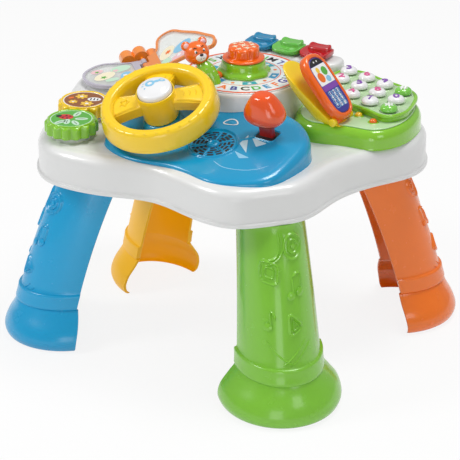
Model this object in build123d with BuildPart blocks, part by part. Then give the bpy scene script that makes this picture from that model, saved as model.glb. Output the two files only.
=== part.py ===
"""Musical activity table: a cloud-shaped play top on four channel legs.

Frame: millimetres, +Z up, floor at z = 0, origin under the middle of the bounding box.
The driver's side is -Y, the telephone side +X, the piano side +Y and the book side -X.
"""

from build123d import *
import os
from math import cos, pi, radians, sin, tan

os.makedirs("parts", exist_ok=True)

# ---------------------------------------------------------------- driving dimensions
LIP_Z = 250.0            # underside of the play top
DECK_Z = 300.0           # flat upper face of the play top
LIP_REACH = 3.0          # the bottom lip stands this far outside the wall
WALL = 3.0               # moulded wall thickness
SHOULDER = 12.0          # sloped shoulder between wall and deck, both ways
COVER_T = 3.0            # plate that closes the underside
FIT = 0.05               # radial clearance of a running fit
GAP = 0.3                # clearance between separately moulded curved walls

LEG_PLACES = {           # node: foot x, foot y, direction of splay, width factor
    "leg_front_left": (-162.0, -153.0, 225.0, 1.0),
    "leg_front_right": (196.0, -153.0, 315.0, 1.0),
    "leg_back_right": (196.0, 153.0, 45.0, 1.0),
    "leg_back_left": (-133.0, 34.0, 161.0, 0.82),
}
LEG_WALL = 4.0
COLLAR_TOP = 76.0        # raised band between shaft and foot
COLLAR_BASE = 53.0
TENON_X = -48.0          # tenon centre, measured inward from the foot's chord

RING_X, RING_Y = 7.0, 42.0       # middle of the letter ring
RING_R = 80.5
RING_Z = 360.0
PEDESTAL_R = 88.0
KNOB_SHAFT_R = 8.0

WHEEL_CENTRE = Vector(-22.0, -116.0, 356.0)
WHEEL_TILT = 20.0
WHEEL_R = 80.0
RIM_INNER_R = 58.0
RIM_DEPTH = 28.0
SPOKE_ANGLES = (40.0, 122.0, 207.0)
POST_R = 10.0
HUB_TOP = 24.0
HUB_BASE = -17.0
HUB_R = 23.5
BUTTON_R = 23.5
BUTTON_TRAVEL = 3.0

CONSOLE_FRONT_Z = 306.0          # console surface above the front edge of the deck
CONSOLE_FRONT_Y = -170.0
CONSOLE_SLOPE = 12.0
SPEAKER_X, SPEAKER_Y = 61.0, -110.0
SPEAKER_R = 34.0
LEVER_X, LEVER_Y = 117.0, -65.0
LEVER_PIN_R = 3.0
LEVER_PIN_DEPTH = 11.0

COG_TEETH = 14
COG_R = 34.5                     # middle of the lobes
COG_LOBE = 2.3                   # height of a lobe either side of COG_R
COG_GAP = 70.0                   # distance between the two cog axles
COG_MIDDLE = (-152.0, -125.5)
COG_HEADING = 114.0              # direction from the front cog to the rear cog
COG_Z = 307.0
COG_T = 19.0
COG_AXLE_R = 6.0

STATION_Z = 325.0
PLATEAU_Z = 338.0
KEY_ORIGIN = Vector(100.0, 169.0)    # far corner key of the keypad
KEY_ACROSS = Vector(34.0, -8.5)      # step from one file of keys to the next
KEY_DOWN = Vector(7.5, -32.7)        # step along a file
KEY_R = 12.0
STEM_R = 3.0
KEY_TRAVEL = 2.5
LIGHT_PLACES = {"light_yellow": (179.0, 64.0), "light_orange": (207.0, 55.0)}

PHONE_HINGE = Vector(168.0, 36.0, 330.5)
CRADLE_RISE = 36.0
HANDSET_RISE = 49.0
EAR_IN, EAR_OUT = 16.3, 23.5     # cradle ears, measured from the middle of the telephone
HANDSET_L, HANDSET_W, HANDSET_T = 99.0, 49.0, 14.0

PIANO_X, PIANO_Y = -3.0, 174.0
PIANO_TURN = 6.0
PIANO_Z = 347.0
PIANO_STEP = 44.0
PIANO_TRAVEL = 3.5

SPINE = Vector(-197.0, 85.0, 320.0)      # outer end of the book's spine
SPINE_HEADING = 137.0                    # direction of the spine, outward
LYING_DROP = 8.0
RAISED_RISE = 33.0
PAGE_T = 2.4
PAGE_ROOT = 8.0                  # a page starts this far from the spine, clear of the other page's barrels
RIM_W = 4.0
SPINE_PIN_R = 2.5
BARREL_R = 4.6

BEAR_X, BEAR_Y = -7.0, -14.0
BEAR_NECK, BEAR_HEAD = 30.0, 44.7  # heights of the neck and the middle of the head up the leaning body

# Cloud outline at the lip, counter-clockwise from the front waist.
CLOUD = [
    (11, -186), (89, -197), (149, -193), (185, -159), (209, -124), (213, -55),
    (235, 30), (257, 82), (250, 132), (222, 168), (167, 190), (95, 198), (17, 207),
    (-80, 192), (-183, 165), (-258, 130), (-281, 65), (-250, -30), (-219, -105),
    (-188, -173), (-141, -210), (-100, -214), (-44, -203),
]
CONSOLE = [
    (-87, -150), (-62, -170), (-33, -179), (30, -172), (66, -174), (101, -181),
    (144, -170), (172, -150), (182, -100), (176, -52), (150, -20), (100, 0),
    (0, 0), (-70, -20), (-90, -70), (-92, -120),
]
STATION = [
    (92, 40), (133, 5), (186, 18), (225, 27), (245, 60), (246, 100), (231, 144),
    (200, 172), (150, 184), (105, 186), (86, 172), (84, 110),
]
PLATEAU = [
    (98, 91), (130, 82), (165, 74), (195, 68), (221, 63), (234, 82), (231, 118), (216, 151),
    (192, 166), (145, 177), (104, 185), (86, 174), (87, 135),
]
LYING_PAGE = [(PAGE_ROOT, 1), (32, -5), (57, -16), (89, 4), (92, 32), (66, 70), (PAGE_ROOT, 66)]
RAISED_PAGE = [
    (PAGE_ROOT, -1), (20, -2), (27, 14), (36, 34), (52, 34), (70, 8), (88, -28), (101, -62), (106, -90),
    (97, -103), (84, -95), (58, -80), (PAGE_ROOT, -66),
]


def outline(points, inset=0.0):
    """Filled smooth closed outline through the points, drawn the given distance inside them."""
    with BuildLine(mode=Mode.PRIVATE):
        path = Spline(*points, periodic=True)
    if inset:
        count = 2 * len(points)
        up = Vector(0, 0, 1)
        stations = [step / count for step in range(count)]
        points = [(path @ u) + up.cross(path % u) * inset for u in stations]
    with BuildSketch(mode=Mode.PRIVATE) as face:
        with BuildLine():
            Spline(*points, periodic=True)
        make_face()
    return face.sketch


def console_point(x, y):
    """Point of the driving console's sloped surface above (x, y)."""
    return Vector(x, y, CONSOLE_FRONT_Z + (y - CONSOLE_FRONT_Y) * tan(radians(CONSOLE_SLOPE)))


def console_plane(x, y):
    """Plane lying on the console surface at (x, y), its local y pointing up the slope."""
    slope = radians(CONSOLE_SLOPE)
    return Plane(origin=console_point(x, y), x_dir=(1, 0, 0), z_dir=(0, -sin(slope), cos(slope)))


def finish(piece, name):
    """Label a finished piece and write it as its own STEP file."""
    piece.part.label = name
    export_step(piece.part, f"parts/{name}.step")


# ---------------------------------------------------------------- legs
def leg_size(z):
    """Chord retreat, width and depth of the bare leg at height z above its collar."""
    climb = (z - 75.0) / 160.0
    return 13.0 + 59.0 * (0.75 * climb + 0.25 * climb**2), 110.0 - 20.0 * climb, 75.0 - climb


def leg_section(z, retreat, width, depth, grow=0.0, back=0.0):
    """Half-ellipse leg section on a level plane: outward is +X and the chord lies on Y."""
    with BuildSketch(Plane.XY.offset(z), mode=Mode.PRIVATE) as section:
        with BuildLine():
            half = width / 2 + grow
            reach = depth + grow
            EllipticalCenterArc((-retreat, 0), reach, half, start_angle=-90, arc_size=180)
            Polyline(
                (-retreat, half), (-retreat - back - 0.01, half), (-retreat - back - 0.01, -half), (-retreat, -half)
            )
        make_face()
    return section.sketch


def build_leg(factor):
    """Splayed channel leg with collar, bell foot and tenon; factor narrows it."""
    foot = [(0, 0, 150, 82), (4, 1, 160, 87), (14, 2, 166, 90), (28, 5, 158, 88), (42, 8, 136, 83), (54, 10, 118, 79)]
    shaft = [(z, *leg_size(z)) for z in (COLLAR_BASE, 110, 180, LIP_Z)]
    collar = [(z, *leg_size(z)) for z in (COLLAR_BASE, COLLAR_TOP)]
    with BuildPart() as leg:
        loft(sections=[leg_section(z, a, w * factor, d) for z, a, w, d in foot])
        loft(sections=[leg_section(z, a, w * factor, d) for z, a, w, d in shaft])
        loft(sections=[leg_section(z, a, w * factor, d, grow=3.5) for z, a, w, d in collar])
        # Open to the table's middle and at the floor, capped under the play top.
        inside = [(-0.5, *foot[0][1:]), *foot[1:]]
        loft(
            sections=[leg_section(z, a, w * factor, d, -LEG_WALL, 6) for z, a, w, d in inside],
            mode=Mode.SUBTRACT,
        )
        channel = [(z, *leg_size(z)) for z in (COLLAR_BASE, 110, 180, LIP_Z - 5)]
        loft(
            sections=[leg_section(z, a, w * factor, d, -LEG_WALL, 6) for z, a, w, d in channel],
            mode=Mode.SUBTRACT,
        )
        # Tenon that plugs through the plate under the play top.
        with BuildSketch(Plane.XY.offset(LIP_Z)):
            with Locations((TENON_X, 0)):
                RectangleRounded(30, 50, 6)
        extrude(amount=12)
    return leg.part


LEG_SHAPES = {factor: build_leg(factor) for factor in {place[3] for place in LEG_PLACES.values()}}
for node, (foot_x, foot_y, splay, factor) in LEG_PLACES.items():
    placed = LEG_SHAPES[factor].moved(Location((foot_x, foot_y, 0), (0, 0, splay)))
    placed.label = node
    export_step(placed, f"parts/{node}.step")

# ---------------------------------------------------------------- white play top
heading = radians(COG_HEADING)
half_gap = COG_GAP / 2
COG_FRONT = (COG_MIDDLE[0] - half_gap * cos(heading), COG_MIDDLE[1] - half_gap * sin(heading))
COG_REAR = (COG_MIDDLE[0] + half_gap * cos(heading), COG_MIDDLE[1] + half_gap * sin(heading))
turn = radians(PIANO_TURN)
piano_plane = Plane(origin=(PIANO_X, PIANO_Y, PIANO_Z), x_dir=(cos(turn), sin(turn), 0), z_dir=(0, 0, 1))
piano_places = [(-PIANO_STEP, 0), (0, 0), (PIANO_STEP, 0)]
along = radians(SPINE_HEADING)
spine_dir = Vector(cos(along), sin(along), 0)
spine_foot = SPINE - spine_dir * 79
SCREW_PLACES = [(-70, -150), (90, -150), (150, 30), (60, 165), (-70, 150), (-205, 110)]

with BuildPart() as table_shell:
    with BuildSketch(Plane.XY.offset(LIP_Z)):
        add(outline(CLOUD))
    extrude(amount=5)
    with BuildSketch(Plane.XY.offset(LIP_Z)):
        add(outline(CLOUD, LIP_REACH))
    extrude(amount=DECK_Z - SHOULDER - LIP_Z)
    with BuildSketch(Plane.XY.offset(DECK_Z - SHOULDER), mode=Mode.PRIVATE) as wall_top:
        add(outline(CLOUD, LIP_REACH))
    with BuildSketch(Plane.XY.offset(DECK_Z), mode=Mode.PRIVATE) as deck_edge:
        add(outline(CLOUD, LIP_REACH + SHOULDER))
    loft(sections=[wall_top.sketch.face(), deck_edge.sketch.face()], ruled=True)
    # Hollow underside, stepped where the shoulder turns in.
    with BuildSketch(Plane.XY.offset(LIP_Z)):
        add(outline(CLOUD, LIP_REACH + WALL))
    extrude(amount=DECK_Z - SHOULDER - LIP_Z - 2, mode=Mode.SUBTRACT)
    with BuildSketch(Plane.XY.offset(LIP_Z)):
        add(outline(CLOUD, LIP_REACH + WALL + SHOULDER))
    extrude(amount=DECK_Z - WALL - LIP_Z, mode=Mode.SUBTRACT)
    # Round pedestal that carries the letter ring.
    with BuildSketch(Plane.XY.offset(DECK_Z - WALL)):
        with Locations((RING_X, RING_Y)):
            Circle(PEDESTAL_R)
    extrude(amount=RING_Z - 2 - DECK_Z + WALL, taper=3)
    with BuildSketch(Plane.XY.offset(DECK_Z - WALL)):
        with Locations((RING_X, RING_Y)):
            Circle(PEDESTAL_R - WALL)
    extrude(amount=RING_Z - 2 - WALL - DECK_Z + WALL, taper=3, mode=Mode.SUBTRACT)
    # Raised block under the piano keys, with a guide bore for each key.
    with BuildSketch(piano_plane.offset(DECK_Z - PIANO_Z)):
        with Locations((5, 0)):
            RectangleRounded(160, 44, 14)
    extrude(amount=PIANO_Z - DECK_Z, taper=2)
    with BuildSketch(piano_plane):
        with Locations(*piano_places):
            Circle(STEM_R + FIT)
    extrude(amount=-16, mode=Mode.SUBTRACT)
    # Round bosses and axle posts for the two cogs.
    with BuildSketch(Plane.XY.offset(DECK_Z)):
        with Locations(COG_FRONT, COG_REAR):
            Circle(26)
    extrude(amount=COG_Z - GAP - DECK_Z)
    with BuildSketch(Plane.XY.offset(DECK_Z)):
        with Locations(COG_FRONT, COG_REAR):
            Circle(COG_AXLE_R)
    extrude(amount=COG_Z + COG_T - 5 - DECK_Z)
    # Post that carries the near end of the book's spine.
    with BuildSketch(Plane.XY.offset(DECK_Z)):
        with Locations((spine_foot.X, spine_foot.Y)):
            Rectangle(8, 14, rotation=SPINE_HEADING)
    extrude(amount=SPINE.Z + 6 - DECK_Z)
    with BuildSketch(Plane(origin=spine_foot - spine_dir * 5, z_dir=spine_dir)):
        Circle(SPINE_PIN_R + FIT)
    extrude(amount=12, mode=Mode.SUBTRACT)
    # Screw bosses under the deck.
    with BuildSketch(Plane.XY.offset(LIP_Z + COVER_T)):
        with Locations(*SCREW_PLACES):
            Circle(5)
            Circle(2, mode=Mode.SUBTRACT)
    extrude(amount=DECK_Z - WALL - LIP_Z - COVER_T)
finish(table_shell, "table_shell")

# ---------------------------------------------------------------- underside
BATTERY_X, BATTERY_Y = 20.0, -40.0

with BuildPart() as base_cover:
    with BuildSketch(Plane.XY.offset(LIP_Z)):
        add(outline(CLOUD, LIP_REACH + WALL + GAP))
        with Locations(*SCREW_PLACES):
            Circle(2, mode=Mode.SUBTRACT)
        with Locations((BATTERY_X, BATTERY_Y)):
            RectangleRounded(96, 70, 6, mode=Mode.SUBTRACT)
    extrude(amount=COVER_T)
    # A socket for the tenon of each leg.
    for foot_x, foot_y, splay, factor in LEG_PLACES.values():
        inward = radians(splay)
        with BuildSketch(Plane.XY.offset(LIP_Z)):
            with Locations((foot_x + TENON_X * cos(inward), foot_y + TENON_X * sin(inward))):
                RectangleRounded(30 + 2 * GAP, 50 + 2 * GAP, 6, rotation=splay)
        extrude(amount=COVER_T, mode=Mode.SUBTRACT)
finish(base_cover, "base_cover")

with BuildPart() as cover_screws:
    with BuildSketch(Plane.XY.offset(LIP_Z - 1.8)):
        with Locations(*SCREW_PLACES):
            Circle(4)
    extrude(amount=1.8)
    with BuildSketch(Plane.XY.offset(LIP_Z - 1.8)):
        with Locations(*SCREW_PLACES):
            Rectangle(5, 1)
            Rectangle(1, 5)
    extrude(amount=1, mode=Mode.SUBTRACT)
    with BuildSketch(Plane.XY.offset(LIP_Z)):
        with Locations(*SCREW_PLACES):
            Circle(1.9)
    extrude(amount=14)
finish(cover_screws, "cover_screws")

with BuildPart() as battery_hatch:
    with BuildSketch(Plane.XY.offset(LIP_Z)):
        with Locations((BATTERY_X, BATTERY_Y)):
            RectangleRounded(95.4, 69.4, 5.7)
    extrude(amount=COVER_T)
    with BuildSketch(Plane.XY.offset(LIP_Z)):
        with Locations((BATTERY_X, BATTERY_Y - 26)):
            SlotOverall(24, 6)
    extrude(amount=1.2, mode=Mode.SUBTRACT)
finish(battery_hatch, "battery_hatch")

# ---------------------------------------------------------------- letter ring and crown knob
ring_axis = Axis((RING_X, RING_Y, 0), (0, 0, 1))
ring_profile = Plane(origin=(RING_X, RING_Y, 0), x_dir=(1, 0, 0), z_dir=(0, -1, 0))

with BuildPart() as letter_ring:
    with BuildSketch(Plane.XY.offset(RING_Z - 2)):
        with Locations((RING_X, RING_Y)):
            Circle(RING_R)
            Circle(28, mode=Mode.SUBTRACT)
    extrude(amount=2)
finish(letter_ring, "letter_ring")

with BuildPart() as knob_collar:
    # Bell-shaped collar whose foot flares out in soft scallops.
    with BuildSketch(ring_profile):
        with BuildLine():
            Polyline((0, RING_Z - 2), (27.8, RING_Z - 2), (27.8, RING_Z), (36, RING_Z), (36, RING_Z + 3))
            Spline((36, RING_Z + 3), (31.5, RING_Z + 9), (30, RING_Z + 16), (28.5, RING_Z + 19.5))
            Polyline((28.5, RING_Z + 19.5), (0, RING_Z + 19.5), (0, RING_Z - 2))
        make_face()
    revolve(axis=ring_axis)
    with BuildSketch(Plane.XY.offset(RING_Z)):
        with Locations((RING_X, RING_Y)):
            with PolarLocations(31, 8):
                Circle(7)
    extrude(amount=6, taper=20)
    with BuildSketch(Plane.XY.offset(RING_Z + 19.5)):
        with Locations((RING_X, RING_Y)):
            Circle(KNOB_SHAFT_R + FIT)
    extrude(amount=-17, mode=Mode.SUBTRACT)
finish(knob_collar, "knob_collar")

with BuildPart() as crown_knob:
    with BuildSketch(Plane.XY.offset(RING_Z + 20)):
        with Locations((RING_X, RING_Y)):
            Circle(29)
    extrude(amount=3.5)
    with BuildSketch(Plane.XY.offset(RING_Z + 23.5)):
        with Locations((RING_X, RING_Y)):
            Circle(19)
            with PolarLocations(15.5, 6):
                Circle(7.5)
    extrude(amount=14.5, taper=3)
    fillet(crown_knob.edges().group_by(Axis.Z)[-1], radius=2)
    with BuildSketch(Plane.XY.offset(RING_Z + 20)):
        with Locations((RING_X, RING_Y)):
            Circle(KNOB_SHAFT_R)
    extrude(amount=-16)
finish(crown_knob, "crown_knob")

# Bear figure standing on the letter ring beside the collar.
with BuildPart() as bear_body:
    body_plane = Plane(origin=(BEAR_X, BEAR_Y, RING_Z), x_dir=(0, 1, 0), z_dir=(-0.56, 0, 0.83))
    with BuildSketch(Plane.XY.offset(RING_Z)):
        with Locations((BEAR_X, BEAR_Y)):
            Circle(13)
    with BuildSketch(body_plane.offset(13), mode=Mode.PRIVATE) as belly:
        Circle(15)
    with BuildSketch(body_plane.offset(BEAR_NECK), mode=Mode.PRIVATE) as neck:
        Circle(8)
    loft(sections=[bear_body.pending_faces[0], belly.sketch.face(), neck.sketch.face()])
finish(bear_body, "bear_body")

HEAD = body_plane.origin + body_plane.z_dir * BEAR_HEAD
with BuildPart() as bear_head:
    with Locations(body_plane.offset(BEAR_HEAD)):
        Sphere(17.5)
    with Locations(HEAD + Vector(-9.7, -11.9, 12.7), HEAD + Vector(5.5, 14.7, 13.4)):
        Sphere(6)
    # Muzzle, towards the telephone side.
    with Locations(HEAD + Vector(12, -7, -1)):
        Sphere(7)
    split(bisect_by=body_plane.offset(BEAR_NECK + 0.05), keep=Keep.TOP)
finish(bear_head, "bear_head")

# ---------------------------------------------------------------- driving console
tilt = radians(WHEEL_TILT)
wheel_plane = Plane(origin=WHEEL_CENTRE, x_dir=(1, 0, 0), z_dir=(0, -sin(tilt), cos(tilt)))
speaker_plane = console_plane(SPEAKER_X, SPEAKER_Y)
lever_plane = console_plane(LEVER_X, LEVER_Y)
pin_centre = lever_plane.origin - lever_plane.z_dir * LEVER_PIN_DEPTH

with BuildPart() as driving_console:
    with BuildSketch(Plane.XY.offset(DECK_Z)):
        add(outline(CONSOLE))
    extrude(amount=60)
    split(bisect_by=console_plane(0, 0), keep=Keep.BOTTOM)
    slope_face = driving_console.faces().filter_by(GeomType.PLANE).sort_by(Axis.Z)[-1]
    fillet(slope_face.edges(), radius=4)
    # Hollowed back that wraps the letter-ring pedestal.
    with BuildSketch(Plane.XY.offset(DECK_Z)):
        with Locations((RING_X, RING_Y)):
            Circle(PEDESTAL_R + GAP)
    extrude(amount=60, mode=Mode.SUBTRACT)
    # Raised boss and post that carry the steering wheel.
    with BuildSketch(wheel_plane.offset(HUB_BASE - 0.5)):
        Circle(26)
    extrude(amount=-34, taper=-9)
    with BuildSketch(wheel_plane.offset(HUB_BASE - 0.5)):
        Circle(POST_R)
    extrude(amount=29)
    split(bisect_by=Plane.XY.offset(DECK_Z), keep=Keep.TOP)
    # Speaker well below two broken rings of sound slots and a raised middle boss.
    with BuildSketch(speaker_plane.offset(-2.5)):
        Circle(SPEAKER_R - 2)
    extrude(amount=-5, mode=Mode.SUBTRACT)
    for slot_r, bridges in ((14, 5), (20, 7), (26, 9)):
        with BuildSketch(speaker_plane):
            Circle(slot_r + 1.3)
            Circle(slot_r - 1.3, mode=Mode.SUBTRACT)
            with PolarLocations(slot_r, bridges):
                Rectangle(5, 4, mode=Mode.SUBTRACT)
        extrude(amount=-4, mode=Mode.SUBTRACT)
    with BuildSketch(speaker_plane):
        Circle(8)
    extrude(amount=2.5, taper=15)
    with BuildSketch(speaker_plane):
        Circle(SPEAKER_R)
        Circle(SPEAKER_R - 2.4, mode=Mode.SUBTRACT)
    extrude(amount=1.2)
    with BuildSketch(speaker_plane):
        with Locations((16, 12)):
            RectangleRounded(26, 9, 3, rotation=37)
    extrude(amount=1.6)
    # Slot and pin bore of the gear lever.
    with BuildSketch(lever_plane):
        RectangleRounded(29, 22, 4)
    extrude(amount=-21, mode=Mode.SUBTRACT)
    with BuildSketch(Plane(origin=pin_centre, z_dir=(1, 0, 0))):
        Circle(LEVER_PIN_R + FIT)
    extrude(amount=20, both=True, mode=Mode.SUBTRACT)
finish(driving_console, "driving_console")

with BuildPart() as speaker:
    with BuildSketch(speaker_plane.offset(-7.3)):
        Circle(SPEAKER_R - 2.4)
    extrude(amount=1.5)
    with BuildSketch(speaker_plane.offset(-5.8)):
        Circle(SPEAKER_R - 2.4)
        Circle(SPEAKER_R - 6, mode=Mode.SUBTRACT)
    extrude(amount=3)
finish(speaker, "speaker")

# ---------------------------------------------------------------- steering wheel
radial_plane = Plane(origin=WHEEL_CENTRE, x_dir=(1, 0, 0), z_dir=wheel_plane.y_dir * -1)

with BuildPart() as steering_wheel:
    # Deep rim: a rounded grip on top, a flared skirt outside and a bowl-like inner face.
    half = RIM_DEPTH / 2
    with BuildSketch(radial_plane):
        with BuildLine():
            Polyline(
                (RIM_INNER_R - 2, -half + 3), (RIM_INNER_R + 2, half - 6), (RIM_INNER_R + 6, half - 1),
                (RIM_INNER_R + 10, half), (WHEEL_R - 6, half - 1.5), (WHEEL_R - 2, half - 7),
                (WHEEL_R, -half), (WHEEL_R - 3, -half), (WHEEL_R - 5, half - 9), (WHEEL_R - 9, half - 5),
                (RIM_INNER_R + 8, half - 5), (RIM_INNER_R + 5, half - 9), (RIM_INNER_R + 1.5, -half + 3),
                close=True,
            )
        make_face()
    revolve(axis=Axis(WHEEL_CENTRE, wheel_plane.z_dir))
    # Hub that widens towards the horn button.
    with BuildSketch(wheel_plane.offset(HUB_BASE)):
        Circle(HUB_R)
    extrude(amount=HUB_TOP - HUB_BASE, taper=-3.5)
    # Three broad spokes that rise from the rim to the hub, each with ribs along it.
    for angle in SPOKE_ANGLES:
        out = wheel_plane.x_dir * cos(radians(angle)) + wheel_plane.y_dir * sin(radians(angle))
        across = wheel_plane.z_dir.cross(out)
        inner = Plane(origin=WHEEL_CENTRE + out * 17 + wheel_plane.z_dir * 5, x_dir=across, z_dir=out)
        outer = Plane(origin=WHEEL_CENTRE + out * 61 - wheel_plane.z_dir * 1, x_dir=across, z_dir=out)
        with BuildSketch(inner, mode=Mode.PRIVATE) as spoke_root:
            RectangleRounded(30, 16, 4)
        with BuildSketch(outer, mode=Mode.PRIVATE) as spoke_tip:
            RectangleRounded(43, 15, 4)
        loft(sections=[spoke_root.sketch.face(), spoke_tip.sketch.face()])
    # Bore for the post and cup for the horn button.
    with BuildSketch(wheel_plane.offset(HUB_BASE)):
        Circle(POST_R + FIT)
    extrude(amount=30, mode=Mode.SUBTRACT)
    with BuildSketch(wheel_plane.offset(HUB_TOP)):
        Circle(BUTTON_R + FIT)
    extrude(amount=-7, mode=Mode.SUBTRACT)
finish(steering_wheel, "steering_wheel")

with BuildPart() as horn_button:
    with BuildSketch(wheel_plane.offset(HUB_TOP - 3.5)):
        Circle(BUTTON_R)
    extrude(amount=7)
    with BuildSketch(radial_plane):
        with BuildLine():
            Line((0, HUB_TOP + 3.5), (BUTTON_R, HUB_TOP + 3.5))
            ThreePointArc((BUTTON_R, HUB_TOP + 3.5), (BUTTON_R * 0.72, HUB_TOP + 7.8), (0, HUB_TOP + 11))
            Line((0, HUB_TOP + 11), (0, HUB_TOP + 3.5))
        make_face()
    revolve(axis=Axis(WHEEL_CENTRE, wheel_plane.z_dir))
finish(horn_button, "horn_button")

# ---------------------------------------------------------------- gear lever
with BuildPart() as gear_stem:
    with BuildSketch(lever_plane.offset(-LEVER_PIN_DEPTH - 5)):
        RectangleRounded(22, 10, 2)
    extrude(amount=LEVER_PIN_DEPTH + 5 + 26)
    with BuildSketch(Plane(origin=pin_centre, z_dir=(1, 0, 0))):
        Circle(LEVER_PIN_R)
    extrude(amount=19, both=True)
finish(gear_stem, "gear_stem")

with BuildPart() as gear_knob:
    bulb = [(17, 26, 16), (22, 44, 30), (31, 58, 42), (41, 55, 42), (51, 43, 34), (58, 32, 25), (61, 20, 16)]
    bulb_sections = []
    for height, wide, deep in bulb:
        with BuildSketch(lever_plane.offset(height), mode=Mode.PRIVATE) as ring:
            RectangleRounded(wide, deep, deep * 0.4)
        bulb_sections.append(ring.sketch.face())
    loft(sections=bulb_sections)
    with BuildSketch(lever_plane.offset(17)):
        RectangleRounded(22.2, 10.2, 2.1)
    extrude(amount=9, mode=Mode.SUBTRACT)
finish(gear_knob, "gear_knob")


# ---------------------------------------------------------------- meshing cogs
def rim_point(centre, lobe, reach):
    """Point of a cog's outline: lobe counts teeth round from the line between the axles."""
    angle = heading + 2 * pi * lobe / COG_TEETH
    return (centre[0] + reach * cos(angle), centre[1] + reach * sin(angle))


def build_cog(name, centre, phase):
    """Round-lobed cog on its axle post; phase 0 points a lobe along the line between the axles."""
    with BuildPart() as cog:
        with BuildSketch(Plane.XY.offset(COG_Z)):
            with BuildLine():
                for tooth in range(COG_TEETH):
                    lobe = tooth + phase
                    ThreePointArc(
                        rim_point(centre, lobe - 0.25, COG_R),
                        rim_point(centre, lobe, COG_R + COG_LOBE),
                        rim_point(centre, lobe + 0.25, COG_R),
                    )
                    ThreePointArc(
                        rim_point(centre, lobe + 0.25, COG_R),
                        rim_point(centre, lobe + 0.5, COG_R - COG_LOBE),
                        rim_point(centre, lobe + 0.75, COG_R),
                    )
            make_face()
        extrude(amount=COG_T)
        with BuildSketch(Plane.XY.offset(COG_Z + COG_T)):
            with Locations(centre):
                Circle(29)
        extrude(amount=-1.2, mode=Mode.SUBTRACT)
        with BuildSketch(Plane.XY.offset(COG_Z)):
            with Locations(centre):
                Circle(COG_AXLE_R + FIT)
        extrude(amount=COG_T - 4, mode=Mode.SUBTRACT)
    finish(cog, name)


build_cog("cog_front", COG_FRONT, 0.0)
build_cog("cog_rear", COG_REAR, 0.5)

# ---------------------------------------------------------------- telephone station
with BuildPart() as phone_station:
    with BuildSketch(Plane.XY.offset(DECK_Z)):
        add(outline(STATION))
    extrude(amount=STATION_Z - DECK_Z)
    chamfer(phone_station.edges().group_by(Axis.Z)[-1], length=3)
    with BuildSketch(Plane.XY.offset(DECK_Z)):
        with Locations((RING_X, RING_Y)):
            Circle(PEDESTAL_R + GAP)
        with Locations(piano_plane.origin + piano_plane.x_dir * 5):
            RectangleRounded(161, 45, 14.5, rotation=PIANO_TURN)
    extrude(amount=60, mode=Mode.SUBTRACT)
finish(phone_station, "phone_station")

with BuildPart() as station_panel:
    with BuildSketch(Plane.XY.offset(STATION_Z)):
        add(outline(STATION, 9))
        with Locations((RING_X, RING_Y)):
            Circle(PEDESTAL_R + 5, mode=Mode.SUBTRACT)
        with Locations(*LIGHT_PLACES.values()):
            Circle(5.4, mode=Mode.SUBTRACT)
        # Opening for the cradle's foot, which stands on the station itself.
        with Locations((PHONE_HINGE.X - 17.8, PHONE_HINGE.Y)):
            Rectangle(48.4, 2 * EAR_OUT + 1, mode=Mode.SUBTRACT)
    extrude(amount=2)
finish(station_panel, "station_panel")

for node, light_at in LIGHT_PLACES.items():
    with BuildPart() as light:
        with BuildSketch(Plane.XY.offset(STATION_Z)):
            with Locations(light_at):
                Circle(5.2)
        extrude(amount=3)
        with Locations((*light_at, STATION_Z + 1.6)):
            Sphere(5.2)
        split(bisect_by=Plane.XY.offset(STATION_Z), keep=Keep.TOP)
    finish(light, node)

keys = [KEY_ORIGIN + KEY_ACROSS * i + KEY_DOWN * j for i in range(4) for j in range(3)]
key_places = [(key.X, key.Y) for key in keys]
KEY_NAMES = ["key_3", "key_2", "key_1", "key_6", "key_5", "key_4", "key_9", "key_8", "key_7"]
KEY_NAMES += ["key_hash", "key_0", "key_star"]

with BuildPart() as keypad_plateau:
    with BuildSketch(Plane.XY.offset(STATION_Z + 2)):
        add(outline(PLATEAU))
    extrude(amount=PLATEAU_Z - STATION_Z - 2)
    # Tray rim that overhangs the plateau.
    with BuildSketch(Plane.XY.offset(PLATEAU_Z - 4)):
        add(outline(PLATEAU, -3))
    extrude(amount=4)
    with BuildSketch(Plane.XY.offset(PLATEAU_Z)):
        add(outline(PLATEAU, 2))
    extrude(amount=-1.5, mode=Mode.SUBTRACT)
    with BuildSketch(Plane.XY.offset(PLATEAU_Z)):
        with Locations(*key_places):
            Circle(STEM_R + FIT)
    extrude(amount=-10, mode=Mode.SUBTRACT)
finish(keypad_plateau, "keypad_plateau")

for node, key_at in zip(KEY_NAMES, key_places):
    with BuildPart() as key:
        with BuildSketch(Plane.XY.offset(PLATEAU_Z + 1.5)):
            with Locations(key_at):
                Circle(KEY_R)
        extrude(amount=8)
        fillet(key.edges().group_by(Axis.Z)[-1], radius=6)
        with BuildSketch(Plane.XY.offset(PLATEAU_Z + 1.5)):
            with Locations(key_at):
                Circle(STEM_R)
        extrude(amount=-8.5)
    finish(key, node)

# ---------------------------------------------------------------- flip telephone
rise = radians(HANDSET_RISE)
handset_plane = Plane(origin=PHONE_HINGE, x_dir=(-cos(rise), 0, sin(rise)), z_dir=(sin(rise), 0, cos(rise)))
rise = radians(CRADLE_RISE)
cradle_plane = Plane(origin=PHONE_HINGE, x_dir=(-cos(rise), 0, sin(rise)), z_dir=(sin(rise), 0, cos(rise)))
hinge_plane = Plane(origin=PHONE_HINGE, z_dir=(0, 1, 0))

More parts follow.
